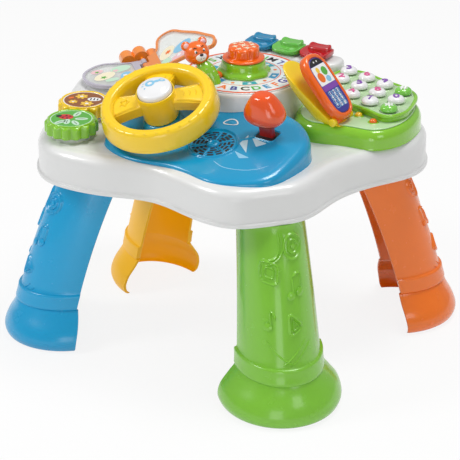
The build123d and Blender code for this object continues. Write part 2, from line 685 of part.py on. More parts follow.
with BuildPart() as phone_cradle:
    # Crescent arm: flat under the handset and bellied below, rounded at its tip.
    with BuildSketch(Plane(origin=PHONE_HINGE, x_dir=cradle_plane.x_dir, z_dir=(0, 1, 0))):
        with BuildLine():
            Polyline((12, -32), (-6, -10), (-6, -1), (107, -1), (107, -4))
            Spline((107, -4), (88, -13), (62, -20), (34, -26), (12, -32))
        make_face()
    extrude(amount=23, both=True)
    with BuildSketch(cradle_plane.offset(-60)):
        with Locations((47, 0)):
            SlotOverall(120, 46)
    extrude(amount=80, mode=Mode.INTERSECT)
    split(bisect_by=Plane.XY.offset(STATION_Z), keep=Keep.TOP)
    # Ears either side of the handset's barrel.
    for side in (1, -1):
        with BuildSketch(hinge_plane.offset(side * EAR_IN)):
            Circle(5.5)
        extrude(amount=side * (EAR_OUT - EAR_IN))
    with BuildSketch(hinge_plane.offset(-EAR_IN)):
        Circle(5.8)
    extrude(amount=2 * EAR_IN, mode=Mode.SUBTRACT)
    with BuildSketch(hinge_plane.offset(-EAR_OUT + 1.5)):
        Circle(2.5 + FIT)
    extrude(amount=2 * EAR_OUT - 3, mode=Mode.SUBTRACT)
finish(phone_cradle, "phone_cradle")

with BuildPart() as handset:
    with BuildSketch(handset_plane.offset(1)):
        with Locations((HANDSET_L / 2 - 4, 0)):
            RectangleRounded(HANDSET_L, HANDSET_W, 20)
    extrude(amount=HANDSET_T)
    fillet(handset.faces().sort_by(Axis((0, 0, 0), handset_plane.z_dir))[-1].edges(), radius=3)
    # Recess for the display.
    with BuildSketch(handset_plane.offset(1 + HANDSET_T)):
        with Locations((HANDSET_L / 2 - 4, 0)):
            RectangleRounded(HANDSET_L - 16, HANDSET_W - 14, 14)
    extrude(amount=-3, mode=Mode.SUBTRACT)
    # Notches that clear the cradle's ears, then the barrel and its pin.
    for side in (1, -1):
        with BuildSketch(hinge_plane.offset(side * (EAR_IN - 0.4))):
            Circle(6)
        extrude(amount=side * 12, mode=Mode.SUBTRACT)
    with BuildSketch(hinge_plane.offset(-EAR_IN + 0.4)):
        Circle(5)
    extrude(amount=2 * EAR_IN - 0.8)
    with BuildSketch(hinge_plane.offset(-EAR_OUT + 2)):
        Circle(2.5)
    extrude(amount=2 * EAR_OUT - 4)
finish(handset, "handset")

with BuildPart() as handset_display:
    with BuildSketch(handset_plane.offset(1 + HANDSET_T - 2.9)):
        with Locations((HANDSET_L / 2 - 4, 0)):
            RectangleRounded(HANDSET_L - 16.4, HANDSET_W - 14.4, 13.8)
    extrude(amount=2)
finish(handset_display, "handset_display")

# ---------------------------------------------------------------- piano keys
for node, (key_x, key_y) in zip(("piano_key_blue", "piano_key_green", "piano_key_red"), piano_places):
    with BuildPart() as piano_key:
        # Saddle-shaped cap: low in the middle, lifted at both wings, with a raised back.
        with BuildSketch(Plane(origin=piano_plane.origin, x_dir=piano_plane.x_dir, z_dir=piano_plane.y_dir * -1)):
            with BuildLine():
                Polyline((key_x - 20, 9), (key_x - 21, 4), (key_x + 21, 4), (key_x + 20, 9))
                Spline((key_x + 20, 9), (key_x, 6.5), (key_x - 20, 9))
            make_face()
        extrude(amount=21, both=True)
        with BuildSketch(piano_plane.offset(6)):
            with Locations((key_x, 10)):
                RectangleRounded(30, 18, 5)
        extrude(amount=8, taper=14)
        with BuildSketch(piano_plane.offset(4)):
            with Locations((key_x, key_y)):
                Circle(STEM_R)
        extrude(amount=-15)
    finish(piano_key, node)

# ---------------------------------------------------------------- book
drop = radians(-LYING_DROP)
lift = radians(RAISED_RISE)
page_out = Vector(-sin(along), cos(along), 0)    # from the spine towards the lying page
lying_plane = Plane(
    origin=SPINE,
    x_dir=page_out * cos(drop) + Vector(0, 0, sin(drop)),
    z_dir=page_out * -sin(drop) + Vector(0, 0, cos(drop)),
)
raised_plane = Plane(
    origin=SPINE,
    x_dir=page_out * -cos(lift) + Vector(0, 0, sin(lift)),
    z_dir=page_out * sin(lift) + Vector(0, 0, cos(lift)),
)
# Stretches of the spine taken by each page's barrels, measured inward from its outer end.
LYING_BARRELS = ((2, 17), (38, 53))
RAISED_BARRELS = ((20, 35), (56, 70))

with BuildPart() as book_spine:
    # Three-lobed orange end block with a round boss, and the spine pin.
    with BuildSketch(Plane(origin=SPINE + spine_dir * 10, x_dir=page_out, z_dir=spine_dir)):
        with Locations((0, 0)):
            Circle(11)
        with Locations((-19, -5), (19, -5)):
            Circle(11)
        with Locations((0, -10)):
            Rectangle(50, 20)
    extrude(amount=24)
    split(bisect_by=Plane.XY.offset(DECK_Z), keep=Keep.TOP)
    with BuildSketch(Plane(origin=SPINE + spine_dir * 34, z_dir=spine_dir)):
        Circle(6)
    extrude(amount=3)
    with BuildSketch(Plane(origin=SPINE + spine_dir * 10, z_dir=spine_dir)):
        Circle(SPINE_PIN_R)
    extrude(amount=-92)
finish(book_spine, "book_spine")


def build_page(name, plane, outline, side, barrels):
    """Clear page and its coloured rim; side is +1 when local y runs along the spine outward."""
    up = Vector(0, 0, side)
    with BuildLine(mode=Mode.PRIVATE):
        edge = Spline(*outline)
    inner = [(edge @ u) - up.cross(edge % u) * RIM_W for u in [0.04 + 0.92 * k / 28 for k in range(29)]]
    inner = [point for point in inner if point.X > outline[0][0] + RIM_W]
    with BuildSketch(mode=Mode.PRIVATE) as whole:
        with BuildLine():
            Spline(*outline)
            Line(outline[-1], outline[0])
        make_face()
    with BuildSketch(mode=Mode.PRIVATE) as window:
        with BuildLine():
            Spline(*inner)
            Line(inner[-1], inner[0])
        make_face()
    with BuildPart() as rim:
        with BuildSketch(plane.offset(-PAGE_T)):
            add(whole.sketch)
            add(window.sketch, mode=Mode.SUBTRACT)
        extrude(amount=2 * PAGE_T)
        for near, far in barrels:
            start = SPINE - spine_dir * near
            with BuildSketch(Plane(origin=start, z_dir=spine_dir * -1)):
                Circle(BARREL_R)
            extrude(amount=far - near)
            with BuildSketch(plane.offset(-PAGE_T)):
                with Locations((PAGE_ROOT / 2 + 1, -side * (near + far) / 2)):
                    Rectangle(PAGE_ROOT + 2, far - near)
            extrude(amount=2 * PAGE_T)
        with BuildSketch(Plane(origin=SPINE + spine_dir, z_dir=spine_dir * -1)):
            Circle(SPINE_PIN_R + FIT)
        extrude(amount=76, mode=Mode.SUBTRACT)
    finish(rim, f"{name}_rim")
    with BuildPart() as sheet:
        with BuildSketch(plane.offset(-PAGE_T / 2)):
            add(window.sketch)
        extrude(amount=PAGE_T)
    finish(sheet, f"{name}_sheet")


build_page("page_lying", lying_plane, LYING_PAGE, -1, LYING_BARRELS)
build_page("page_raised", raised_plane, RAISED_PAGE, 1, RAISED_BARRELS)

with BuildPart() as page_dome:
    with Locations((-183, 124, DECK_Z)):
        Sphere(13)
    split(bisect_by=Plane.XY.offset(DECK_Z), keep=Keep.TOP)
finish(page_dome, "page_dome")
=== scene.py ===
"""Looks of the musical activity table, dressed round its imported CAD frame.

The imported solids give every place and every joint. Each class below dresses one sub-assembly: it
either finishes the CAD solid or stands a smoother moulded form in the same space. Sizes are in
millimetres and the meshes are written in metres. +Z is up and -Y is the driver's side.
"""

import logging
import math
from collections.abc import Callable, Sequence
from dataclasses import dataclass
from enum import Enum

import bmesh
import bpy
import numpy as np
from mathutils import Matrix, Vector


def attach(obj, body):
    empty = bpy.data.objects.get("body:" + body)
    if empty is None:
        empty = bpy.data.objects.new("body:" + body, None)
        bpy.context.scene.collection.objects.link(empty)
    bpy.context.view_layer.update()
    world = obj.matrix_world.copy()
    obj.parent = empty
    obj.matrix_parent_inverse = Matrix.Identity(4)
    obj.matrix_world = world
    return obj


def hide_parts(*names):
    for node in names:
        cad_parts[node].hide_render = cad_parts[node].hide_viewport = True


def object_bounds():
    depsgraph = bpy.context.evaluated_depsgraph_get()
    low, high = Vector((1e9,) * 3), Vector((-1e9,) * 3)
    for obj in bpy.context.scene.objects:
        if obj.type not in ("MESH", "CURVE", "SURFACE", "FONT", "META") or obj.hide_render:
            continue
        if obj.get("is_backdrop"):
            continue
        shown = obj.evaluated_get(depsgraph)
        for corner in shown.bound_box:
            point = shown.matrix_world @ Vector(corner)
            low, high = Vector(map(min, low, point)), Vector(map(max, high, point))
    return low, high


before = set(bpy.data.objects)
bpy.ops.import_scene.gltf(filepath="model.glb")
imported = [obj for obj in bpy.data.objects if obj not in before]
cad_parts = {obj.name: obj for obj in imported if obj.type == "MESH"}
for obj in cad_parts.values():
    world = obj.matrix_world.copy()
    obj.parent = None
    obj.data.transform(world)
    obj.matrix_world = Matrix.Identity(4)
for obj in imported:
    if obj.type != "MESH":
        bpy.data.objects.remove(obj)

LOG = logging.getLogger("activity_table")
MM = 0.001
TABLE = "table"
CAD_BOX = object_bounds()

Points = np.ndarray
Surface = Callable[[Points, Points, Points], Points]


# ------------------------------------------------------------------------------ shader maths
class Sig:
    """A node socket that takes part in Python expressions; each operator adds one Math node."""

    def __init__(self, nodes: "Nodes", socket: bpy.types.NodeSocket) -> None:
        """Wrap an output socket of the given node tree."""
        self.nodes = nodes
        self.socket = socket

    def _math(self, operation: str, *values: "Sig | float") -> "Sig":
        """Add a Math node with the operation and return its result."""
        return self.nodes.node("ShaderNodeMath", {"operation": operation}, *values)

    def __add__(self, other: "Sig | float") -> "Sig":
        """Sum."""
        return self._math("ADD", self, other)

    def __radd__(self, other: float) -> "Sig":
        """Reflected sum."""
        return self._math("ADD", other, self)

    def __mul__(self, other: "Sig | float") -> "Sig":
        """Product."""
        return self._math("MULTIPLY", self, other)

    def __rmul__(self, other: float) -> "Sig":
        """Reflected product."""
        return self._math("MULTIPLY", other, self)


class Nodes:
    """A node tree under construction."""

    def __init__(self, tree: bpy.types.NodeTree) -> None:
        """Take a material's or the world's node tree."""
        self.tree = tree

    def node(self, kind: str, settings: dict, *values: object, output: int | str = 0, **named: object) -> Sig:
        """Add a node, set its settings, then feed its sockets.

        Args:
            kind: Blender's node type.
            settings: attributes set before the sockets.
            values: numbers, vectors or signals for the input sockets in order.
            output: the output socket to hand back.
            named: numbers, vectors or signals for input sockets by name.

        Returns:
            The chosen output as a signal.
        """
        made = self.tree.nodes.new(kind)
        for key, value in settings.items():
            setattr(made, key, value)
        for key, value in [*enumerate(values), *((k.replace("_", " "), v) for k, v in named.items())]:
            self.feed(made.inputs[key], value)
        return Sig(self, made.outputs[output])

    def feed(self, socket: bpy.types.NodeSocket, value: object) -> None:
        """Link a signal to the socket, or set the socket's own value."""
        if isinstance(value, Sig):
            self.tree.links.new(value.socket, socket)
        elif value is not None:
            socket.default_value = value

    def finish(self, surface: Sig, output: str) -> None:
        """Link the surface to the tree's output node."""
        self.feed(self.tree.nodes[output].inputs["Surface"], surface)


class Shade(Nodes):
    """One procedural material under construction on a Principled shader."""

    COLOUR_INPUTS = (6, 7)
    COLOUR_OUTPUT = 2

    def __init__(self, name: str) -> None:
        """Start an empty node material with a Principled shader wired to the output."""
        self.material = bpy.data.materials.new(name)
        self.material.use_nodes = True
        super().__init__(self.material.node_tree)
        self.shader = self.tree.nodes["Principled BSDF"]

    def set(self, **sockets: object) -> None:
        """Feed sockets of the Principled shader by their names, with _ for a space."""
        for name, value in sockets.items():
            self.feed(self.shader.inputs[name.replace("_", " ")], value)

    def place(self) -> Sig:
        """Object coordinates of the shaded point, in metres."""
        return self.node("ShaderNodeTexCoord", {}, output="Object")

    def noise(self, scale: float, detail: float = 2.0) -> Sig:
        """Noise between nought and one; scale is in cycles to the metre."""
        return self.node("ShaderNodeTexNoise", {}, self.place(), Scale=scale, Detail=detail)

    def mix(self, share: Sig, low: object, high: object) -> Sig:
        """Colour between low and high by the share."""
        made = self.node("ShaderNodeMix", {"data_type": "RGBA"}, share, output=self.COLOUR_OUTPUT)
        for index, colour in zip(self.COLOUR_INPUTS, (low, high)):
            self.feed(made.socket.node.inputs[index], colour)
        return made

    def bump(self, height: Sig, strength: float, distance: float) -> Sig:
        """Normal from a height signal; distance is in metres."""
        return self.node("ShaderNodeBump", {}, Height=height, Strength=strength, Distance=distance)


def tinted(colour: Sequence[float], gain: float) -> tuple[float, float, float, float]:
    """Colour times gain, clipped, with a full alpha."""
    return (*(min(1.0, part * gain) for part in colour[:3]), 1.0)


@dataclass(frozen=True)
class Plastic:
    """Injection-moulded plastic: flow marks in the tint, uneven gloss and a fine mould grain, with an
    optional emission that paints light onto a part that is no lamp.
    """

    name: str
    colour: tuple[float, float, float]
    roughness: float = 0.3
    coat: float = 0.35
    glow: float = 0.04
    glow_colour: tuple[float, float, float] | None = None
    grain: float = 0.05
    mottle: float = 0.05
    alpha: float = 1.0
    # Emission strength: painted light that brightens a part that is no lamp.
    painted_glow: float = 0.0

    def build(self) -> bpy.types.Material:
        """Make the material.

        Returns:
            A Blender material named after the finish.
        """
        shade = Shade(self.name)
        cloud = shade.noise(9.0, 3.0)
        streak = shade.noise(70.0, 2.0)
        blend = cloud * 0.7 + streak * 0.3
        low, high = tinted(self.colour, 1 - self.mottle), tinted(self.colour, 1 + self.mottle)
        shade.set(Base_Color=shade.mix(blend, low, high))
        shade.set(Roughness=streak * 0.08 + (self.roughness - 0.04))
        shade.set(Coat_Weight=self.coat, Coat_Roughness=0.06, IOR=1.5)
        if self.glow:
            radius = self.glow_colour or self.colour
            shade.set(Subsurface_Weight=self.glow, Subsurface_Scale=0.004, Subsurface_Radius=radius)
        # Painted light: the emission brightens the part as if more light fell on it.
        if self.painted_glow:
            shade.set(Emission_Color=tinted(self.colour, 1.0), Emission_Strength=self.painted_glow)
        if self.alpha < 1:
            shade.set(Alpha=self.alpha)
        grain = shade.noise(1400.0, 1.0)
        wave = shade.noise(45.0, 1.0)
        shade.set(Normal=shade.bump(grain * 0.25 + wave, self.grain, 0.0006))
        return shade.material


@dataclass(frozen=True)
class Ink:
    """Printed ink: even colour with a fine screen of dots and a satin face."""

    name: str
    colour: tuple[float, float, float]
    roughness: float = 0.38

    def build(self) -> bpy.types.Material:
        """Make the material.

        Returns:
            A Blender material named after the ink.
        """
        shade = Shade(self.name)
        screen = shade.node("ShaderNodeTexVoronoi", {}, shade.place(), Scale=2600.0)
        patch = shade.noise(120.0)
        share = screen * 0.6 + patch * 0.4
        shade.set(Base_Color=shade.mix(share, tinted(self.colour, 1.03), tinted(self.colour, 0.9)))
        shade.set(Roughness=patch * 0.1 + (self.roughness - 0.05), Coat_Weight=0.15)
        shade.set(Normal=shade.bump(screen, 0.04, 0.0002))
        return shade.material


@dataclass(frozen=True)
class Steel:
    """Plated screw steel with a turned face."""

    name: str
    colour: tuple[float, float, float]

    def build(self) -> bpy.types.Material:
        """Make the material.

        Returns:
            A Blender material named after the finish.
        """
        shade = Shade(self.name)
        scratch = shade.noise(900.0, 3.0)
        shade.set(Base_Color=shade.mix(scratch, tinted(self.colour, 0.85), tinted(self.colour, 1.1)))
        shade.set(Metallic=1.0, Roughness=scratch * 0.2 + 0.25)
        shade.set(Normal=shade.bump(scratch, 0.08, 0.0002))
        return shade.material


class Hue(Enum):
    """Every finish on the table."""

    WHITE = Plastic("shell_white", (0.74, 0.745, 0.74), 0.3, 0.25, 0.05, (1, 1, 1), mottle=0.015)
    GLOSS_WHITE = Plastic("gloss_white", (0.83, 0.83, 0.84), 0.2, 0.5, 0.05, (1, 1, 1), mottle=0.01)
    BLUE = Plastic("leg_blue", (0.001, 0.35, 0.66), 0.26, 0.25)
    CONSOLE_BLUE = Plastic("console_blue", (0.001, 0.30, 0.56), 0.24, 0.4)
    GREEN = Plastic("leg_green", (0.20, 0.52, 0.030), 0.26)
    LIME = Plastic("station_green", (0.23, 0.55, 0.020), 0.16, 0.7)
    ORANGE = Plastic("leg_orange", (0.90, 0.18, 0.006), 0.26)
    # Painted light: the yellow leg glows a little, which brightens it in the shade under the play top.
    YELLOW = Plastic("leg_yellow", (0.97, 0.50, 0.001), 0.42, 0.05, glow=0.0, painted_glow=0.13)
    WHEEL = Plastic("wheel_yellow", (0.93, 0.62, 0.012), 0.24, 0.5)
    AMBER = Plastic("phone_amber", (0.90, 0.66, 0.012), 0.26, 0.4)
    RED_ORANGE = Plastic("knob_orange", (0.83, 0.085, 0.003), 0.16, 0.7)
    PHONE = Plastic("phone_orange", (0.88, 0.13, 0.003), 0.2, 0.6)
    RED = Plastic("key_red", (0.50, 0.004, 0.010), 0.16, 0.6, 0.2, (1, 0.1, 0.1))
    STEM = Plastic("stem_red", (0.36, 0.012, 0.008), 0.3, 0.3)
    KEY_BLUE = Plastic("key_blue", (0.004, 0.22, 0.42), 0.16, 0.6, 0.2, (0.2, 0.5, 1))
    KEY_GREEN = Plastic("key_green", (0.13, 0.48, 0.06), 0.16, 0.6, 0.2, (0.3, 1, 0.2))
    PALE_GREEN = Plastic("panel_green", (0.50, 0.72, 0.40), 0.24, 0.4, 0.15, (0.6, 1, 0.5))
    BUTTON_GREEN = Plastic("button_green", (0.20, 0.58, 0.07), 0.14, 0.7, 0.25, (0.3, 1, 0.2))
    CLEAR = Plastic("page_clear", (0.84, 0.87, 0.84), 0.08, 0.5, 0.0, None, 0.03, 0.02, 0.5)
    LILAC = Plastic("page_lilac", (0.58, 0.55, 0.64), 0.22, 0.4, alpha=0.8)
    PAGE_ORANGE = Plastic("page_orange", (0.85, 0.26, 0.05), 0.2, 0.5)
    BOOK_ORANGE = Plastic("book_orange", (0.95, 0.27, 0.015), 0.2, 0.5)
    BEAR = Plastic("bear_orange", (0.86, 0.15, 0.010), 0.26, 0.4)
    # Near-black: the speaker's dark finish, and painted shade on the plates that stand for the console's
    # slots.
    DARK = Plastic("speaker_dark_and_slot_shade", (0.012, 0.014, 0.018), 0.6, 0.0, 0.0)
    LENS_YELLOW = Plastic("lens_yellow", (0.94, 0.56, 0.02), 0.1, 0.8, 0.3, (1, 0.7, 0.2))
    LENS_ORANGE = Plastic("lens_orange", (0.88, 0.17, 0.01), 0.1, 0.8, 0.3, (1, 0.4, 0.1))
    SCREW = Steel("screw_steel", (0.62, 0.63, 0.65))
    INK_WHITE = Ink("ink_white", (0.90, 0.90, 0.90))
    INK_BLUE = Ink("ink_blue", (0.02, 0.27, 0.52))
    INK_SKY = Ink("ink_sky", (0.25, 0.56, 0.78))
    INK_PALE = Ink("ink_pale", (0.55, 0.76, 0.86))
    INK_NAVY = Ink("ink_navy", (0.045, 0.04, 0.30))
    INK_BLACK = Ink("ink_black", (0.012, 0.012, 0.014))
    INK_GREEN = Ink("ink_green", (0.10, 0.42, 0.05))
    INK_ORANGE = Ink("ink_orange", (0.88, 0.17, 0.01))
    INK_YELLOW = Ink("ink_yellow", (0.93, 0.60, 0.05))
    INK_RED = Ink("ink_red", (0.66, 0.02, 0.03))
    INK_PINK = Ink("ink_pink", (0.72, 0.10, 0.30))
    INK_ROSE = Ink("ink_rose", (0.86, 0.55, 0.58))
    INK_VIOLET = Ink("ink_violet", (0.22, 0.06, 0.42))
    INK_MINT = Ink("ink_mint", (0.55, 0.78, 0.60))
    INK_ICE = Ink("ink_ice", (0.72, 0.82, 0.84))
    INK_TEAL = Ink("ink_teal", (0.03, 0.36, 0.46))
    INK_CREAM = Ink("ink_cream", (0.92, 0.84, 0.62))
    INK_BROWN = Ink("ink_brown", (0.28, 0.09, 0.02))

    def material(self) -> bpy.types.Material:
        """The finish's Blender material, made on first use."""
        return bpy.data.materials.get(self.value.name) or self.value.build()


# ------------------------------------------------------------------------------ geometry
@dataclass(frozen=True)
class Datum:
    """Local axes on the table in millimetres: u to the right, v up the face, w along the normal."""

    origin: tuple[float, float, float]
    right: tuple[float, float, float] = (1.0, 0.0, 0.0)
    normal: tuple[float, float, float] = (0.0, 0.0, 1.0)

    def at(self, u: Points, v: Points, w: Points | float = 0.0) -> Points:
        """Point origin + u right + v up + w normal, for whole arrays at once."""
        across = unit(np.array(self.right))
        out = unit(np.array(self.normal))
        up = np.cross(out, across)
        u, v, w = np.broadcast_arrays(np.asarray(u, float), v, w)
        return np.array(self.origin) + u[..., None] * across + v[..., None] * up + w[..., None] * out

    def spot(self, u: float, v: float, w: float = 0.0) -> tuple[float, ...]:
        """One point of these axes."""
        return tuple(self.at(np.array(u), np.array(v), w))

    def moved(self, u: float, v: float, w: float) -> "Datum":
        """The same axes about another point of theirs."""
        return Datum(self.spot(u, v, w), self.right, self.normal)


def unit(vector: Points) -> Points:
    """Vectors scaled to length one along the last axis."""
    return vector / np.maximum(np.linalg.norm(vector, axis=-1, keepdims=True), 1e-12)


def heading(angle: float) -> tuple[float, float]:
    """Cosine and sine of an angle in degrees."""
    return math.cos(math.radians(angle)), math.sin(math.radians(angle))


def turned(u: float, v: float, angle: float) -> tuple[float, float]:
    """(u, v) turned anticlockwise by an angle in degrees."""
    c, s = heading(angle)
    return u * c - v * s, u * s + v * c


def smooth_loop(points: Sequence[tuple[float, float]], count: int = 240) -> Points:
    """Closed curve through the points: the cubic with even bending whose parameter is chord length.

    Args:
        points: the 2-D points in order.
        count: how many samples to hand back.

    Returns:
        An array of count points.
    """
    p = np.array(points, float)
    n = len(p)
    h = np.linalg.norm(np.roll(p, -1, 0) - p, axis=1)
    back = np.roll(h, 1)
    system = np.zeros((n, n))
    rows = np.arange(n)
    system[rows, rows] = 2 * (back + h)
    system[rows, (rows + 1) % n] += h
    system[rows, (rows - 1) % n] += back
    ahead_slope = (np.roll(p, -1, 0) - p) / h[:, None]
    bend = np.linalg.solve(system, 6 * (ahead_slope - np.roll(ahead_slope, 1, 0)))
    edges = np.concatenate([[0.0], np.cumsum(h)])
    t = np.linspace(0, edges[-1], count, endpoint=False)
    i = np.clip(np.searchsorted(edges, t, side="right") - 1, 0, n - 1)
    j = (i + 1) % n
    a = ((edges[i + 1] - t) / h[i])[:, None]
    b = 1 - a
    curl = ((a**3 - a) * bend[i] + (b**3 - b) * bend[j]) * (h[i] ** 2)[:, None] / 6
    return a * p[i] + b * p[j] + curl


def smooth_path(points: Sequence[tuple[float, ...]], count: int = 40) -> Points:
    """Open curve through the points, by Catmull and Rom's cubic on each stretch.

    Args:
        points: the points in order.
        count: how many samples to hand back.

    Returns:
        An array of count points.
    """
    p = np.array(points, float)
    ends = np.vstack([2 * p[0] - p[1], p, 2 * p[-1] - p[-2]])
    s = np.linspace(0, len(p) - 1, count)
    i = np.minimum(s.astype(int), len(p) - 2)
    t = (s - i)[:, None]
    a, b, c, d = ends[i], ends[i + 1], ends[i + 2], ends[i + 3]
    return 0.5 * (2 * b + (c - a) * t + (2 * a - 5 * b + 4 * c - d) * t**2 + (3 * b - a - 3 * c + d) * t**3)


def rounded(points: Sequence[tuple[float, float]], radius: float, steps: int = 6) -> Points:
    """Polygon whose corners are cut back by radius and bridged by parabolas.

    Args:
        points: corners in order.
        radius: how far each corner is cut back along its sides.
        steps: samples on each corner.

    Returns:
        The rounded outline as an array of points.
    """
    p = np.array(points, float)
    before, after = np.roll(p, 1, 0) - p, np.roll(p, -1, 0) - p
    cut_before = np.minimum(radius, np.linalg.norm(before, axis=1) * 0.49)[:, None]
    cut_after = np.minimum(radius, np.linalg.norm(after, axis=1) * 0.49)[:, None]
    a, b = p + unit(before) * cut_before, p + unit(after) * cut_after
    t = np.linspace(0, 1, steps)[None, :, None]
    curve = (1 - t) ** 2 * a[:, None] + 2 * t * (1 - t) * p[:, None] + t**2 * b[:, None]
    return curve.reshape(-1, p.shape[1])


def ellipse(u: float, v: float, ru: float, rv: float | None = None, turn: float = 0.0,
            count: int = 32) -> Points:
    """Closed ellipse of half-axes ru and rv about (u, v), turned by an angle in degrees.

    Args:
        u: middle, first axis.
        v: middle, second axis.
        ru: first half-axis.
        rv: second half-axis, the first when left out.
        turn: degrees anticlockwise.
        count: how many points.

    Returns:
        The outline, anticlockwise.
    """
    t = np.linspace(0, 2 * math.pi, count, endpoint=False)
    x, y = ru * np.cos(t), (ru if rv is None else rv) * np.sin(t)
    c, s = heading(turn)
    return np.stack([u + x * c - y * s, v + x * s + y * c], 1)


def sector(u: float, v: float, r0: float, r1: float, start: float, end: float, count: int = 8) -> Points:
    """Closed piece of a ring between two radii and two angles in degrees.

    Args:
        u: middle of the ring, first axis.
        v: middle of the ring, second axis.
        r0: inner radius.
        r1: outer radius.
        start: first angle.
        end: last angle.
        count: points on each arc.

    Returns:
        The outline, anticlockwise.
    """
    t = np.radians(np.linspace(start, end, count))
    rim = np.stack([np.cos(t), np.sin(t)], 1)
    return np.vstack([rim * r1, rim[::-1] * r0]) + (u, v)


def star(u: float, v: float, outer: float, inner: float, points: int, turn: float = 90.0) -> Points:
    """Closed star outline.

    Args:
        u: middle, first axis.
        v: middle, second axis.
        outer: radius of the tips.
        inner: radius of the notches.
        points: how many tips.
        turn: direction of the first tip in degrees.

    Returns:
        The outline, anticlockwise.
    """
    t = np.radians(turn) + np.arange(2 * points) * math.pi / points
    r = np.where(np.arange(2 * points) % 2 == 0, outer, inner)
    return np.stack([u + r * np.cos(t), v + r * np.sin(t)], 1)


def offset_loop(loop: Points, inset: float) -> Points:
    """Anticlockwise loop moved inwards by inset along its own normals."""
    along = unit(np.roll(loop, -1, 0) - np.roll(loop, 1, 0))
    return loop + np.stack([-along[:, 1], along[:, 0]], 1) * inset


def quarter(start: tuple[float, float], end: tuple[float, float], steps: int) -> list[tuple[float, float]]:
    """Quarter-ellipse points from start to end, which leave start along the second axis."""
    t = np.linspace(0, math.pi / 2, steps)
    across, along = end[0] - start[0], end[1] - start[1]
    return [(start[0] + across * p, start[1] + along * q) for p, q in zip(1 - np.cos(t), np.sin(t))]


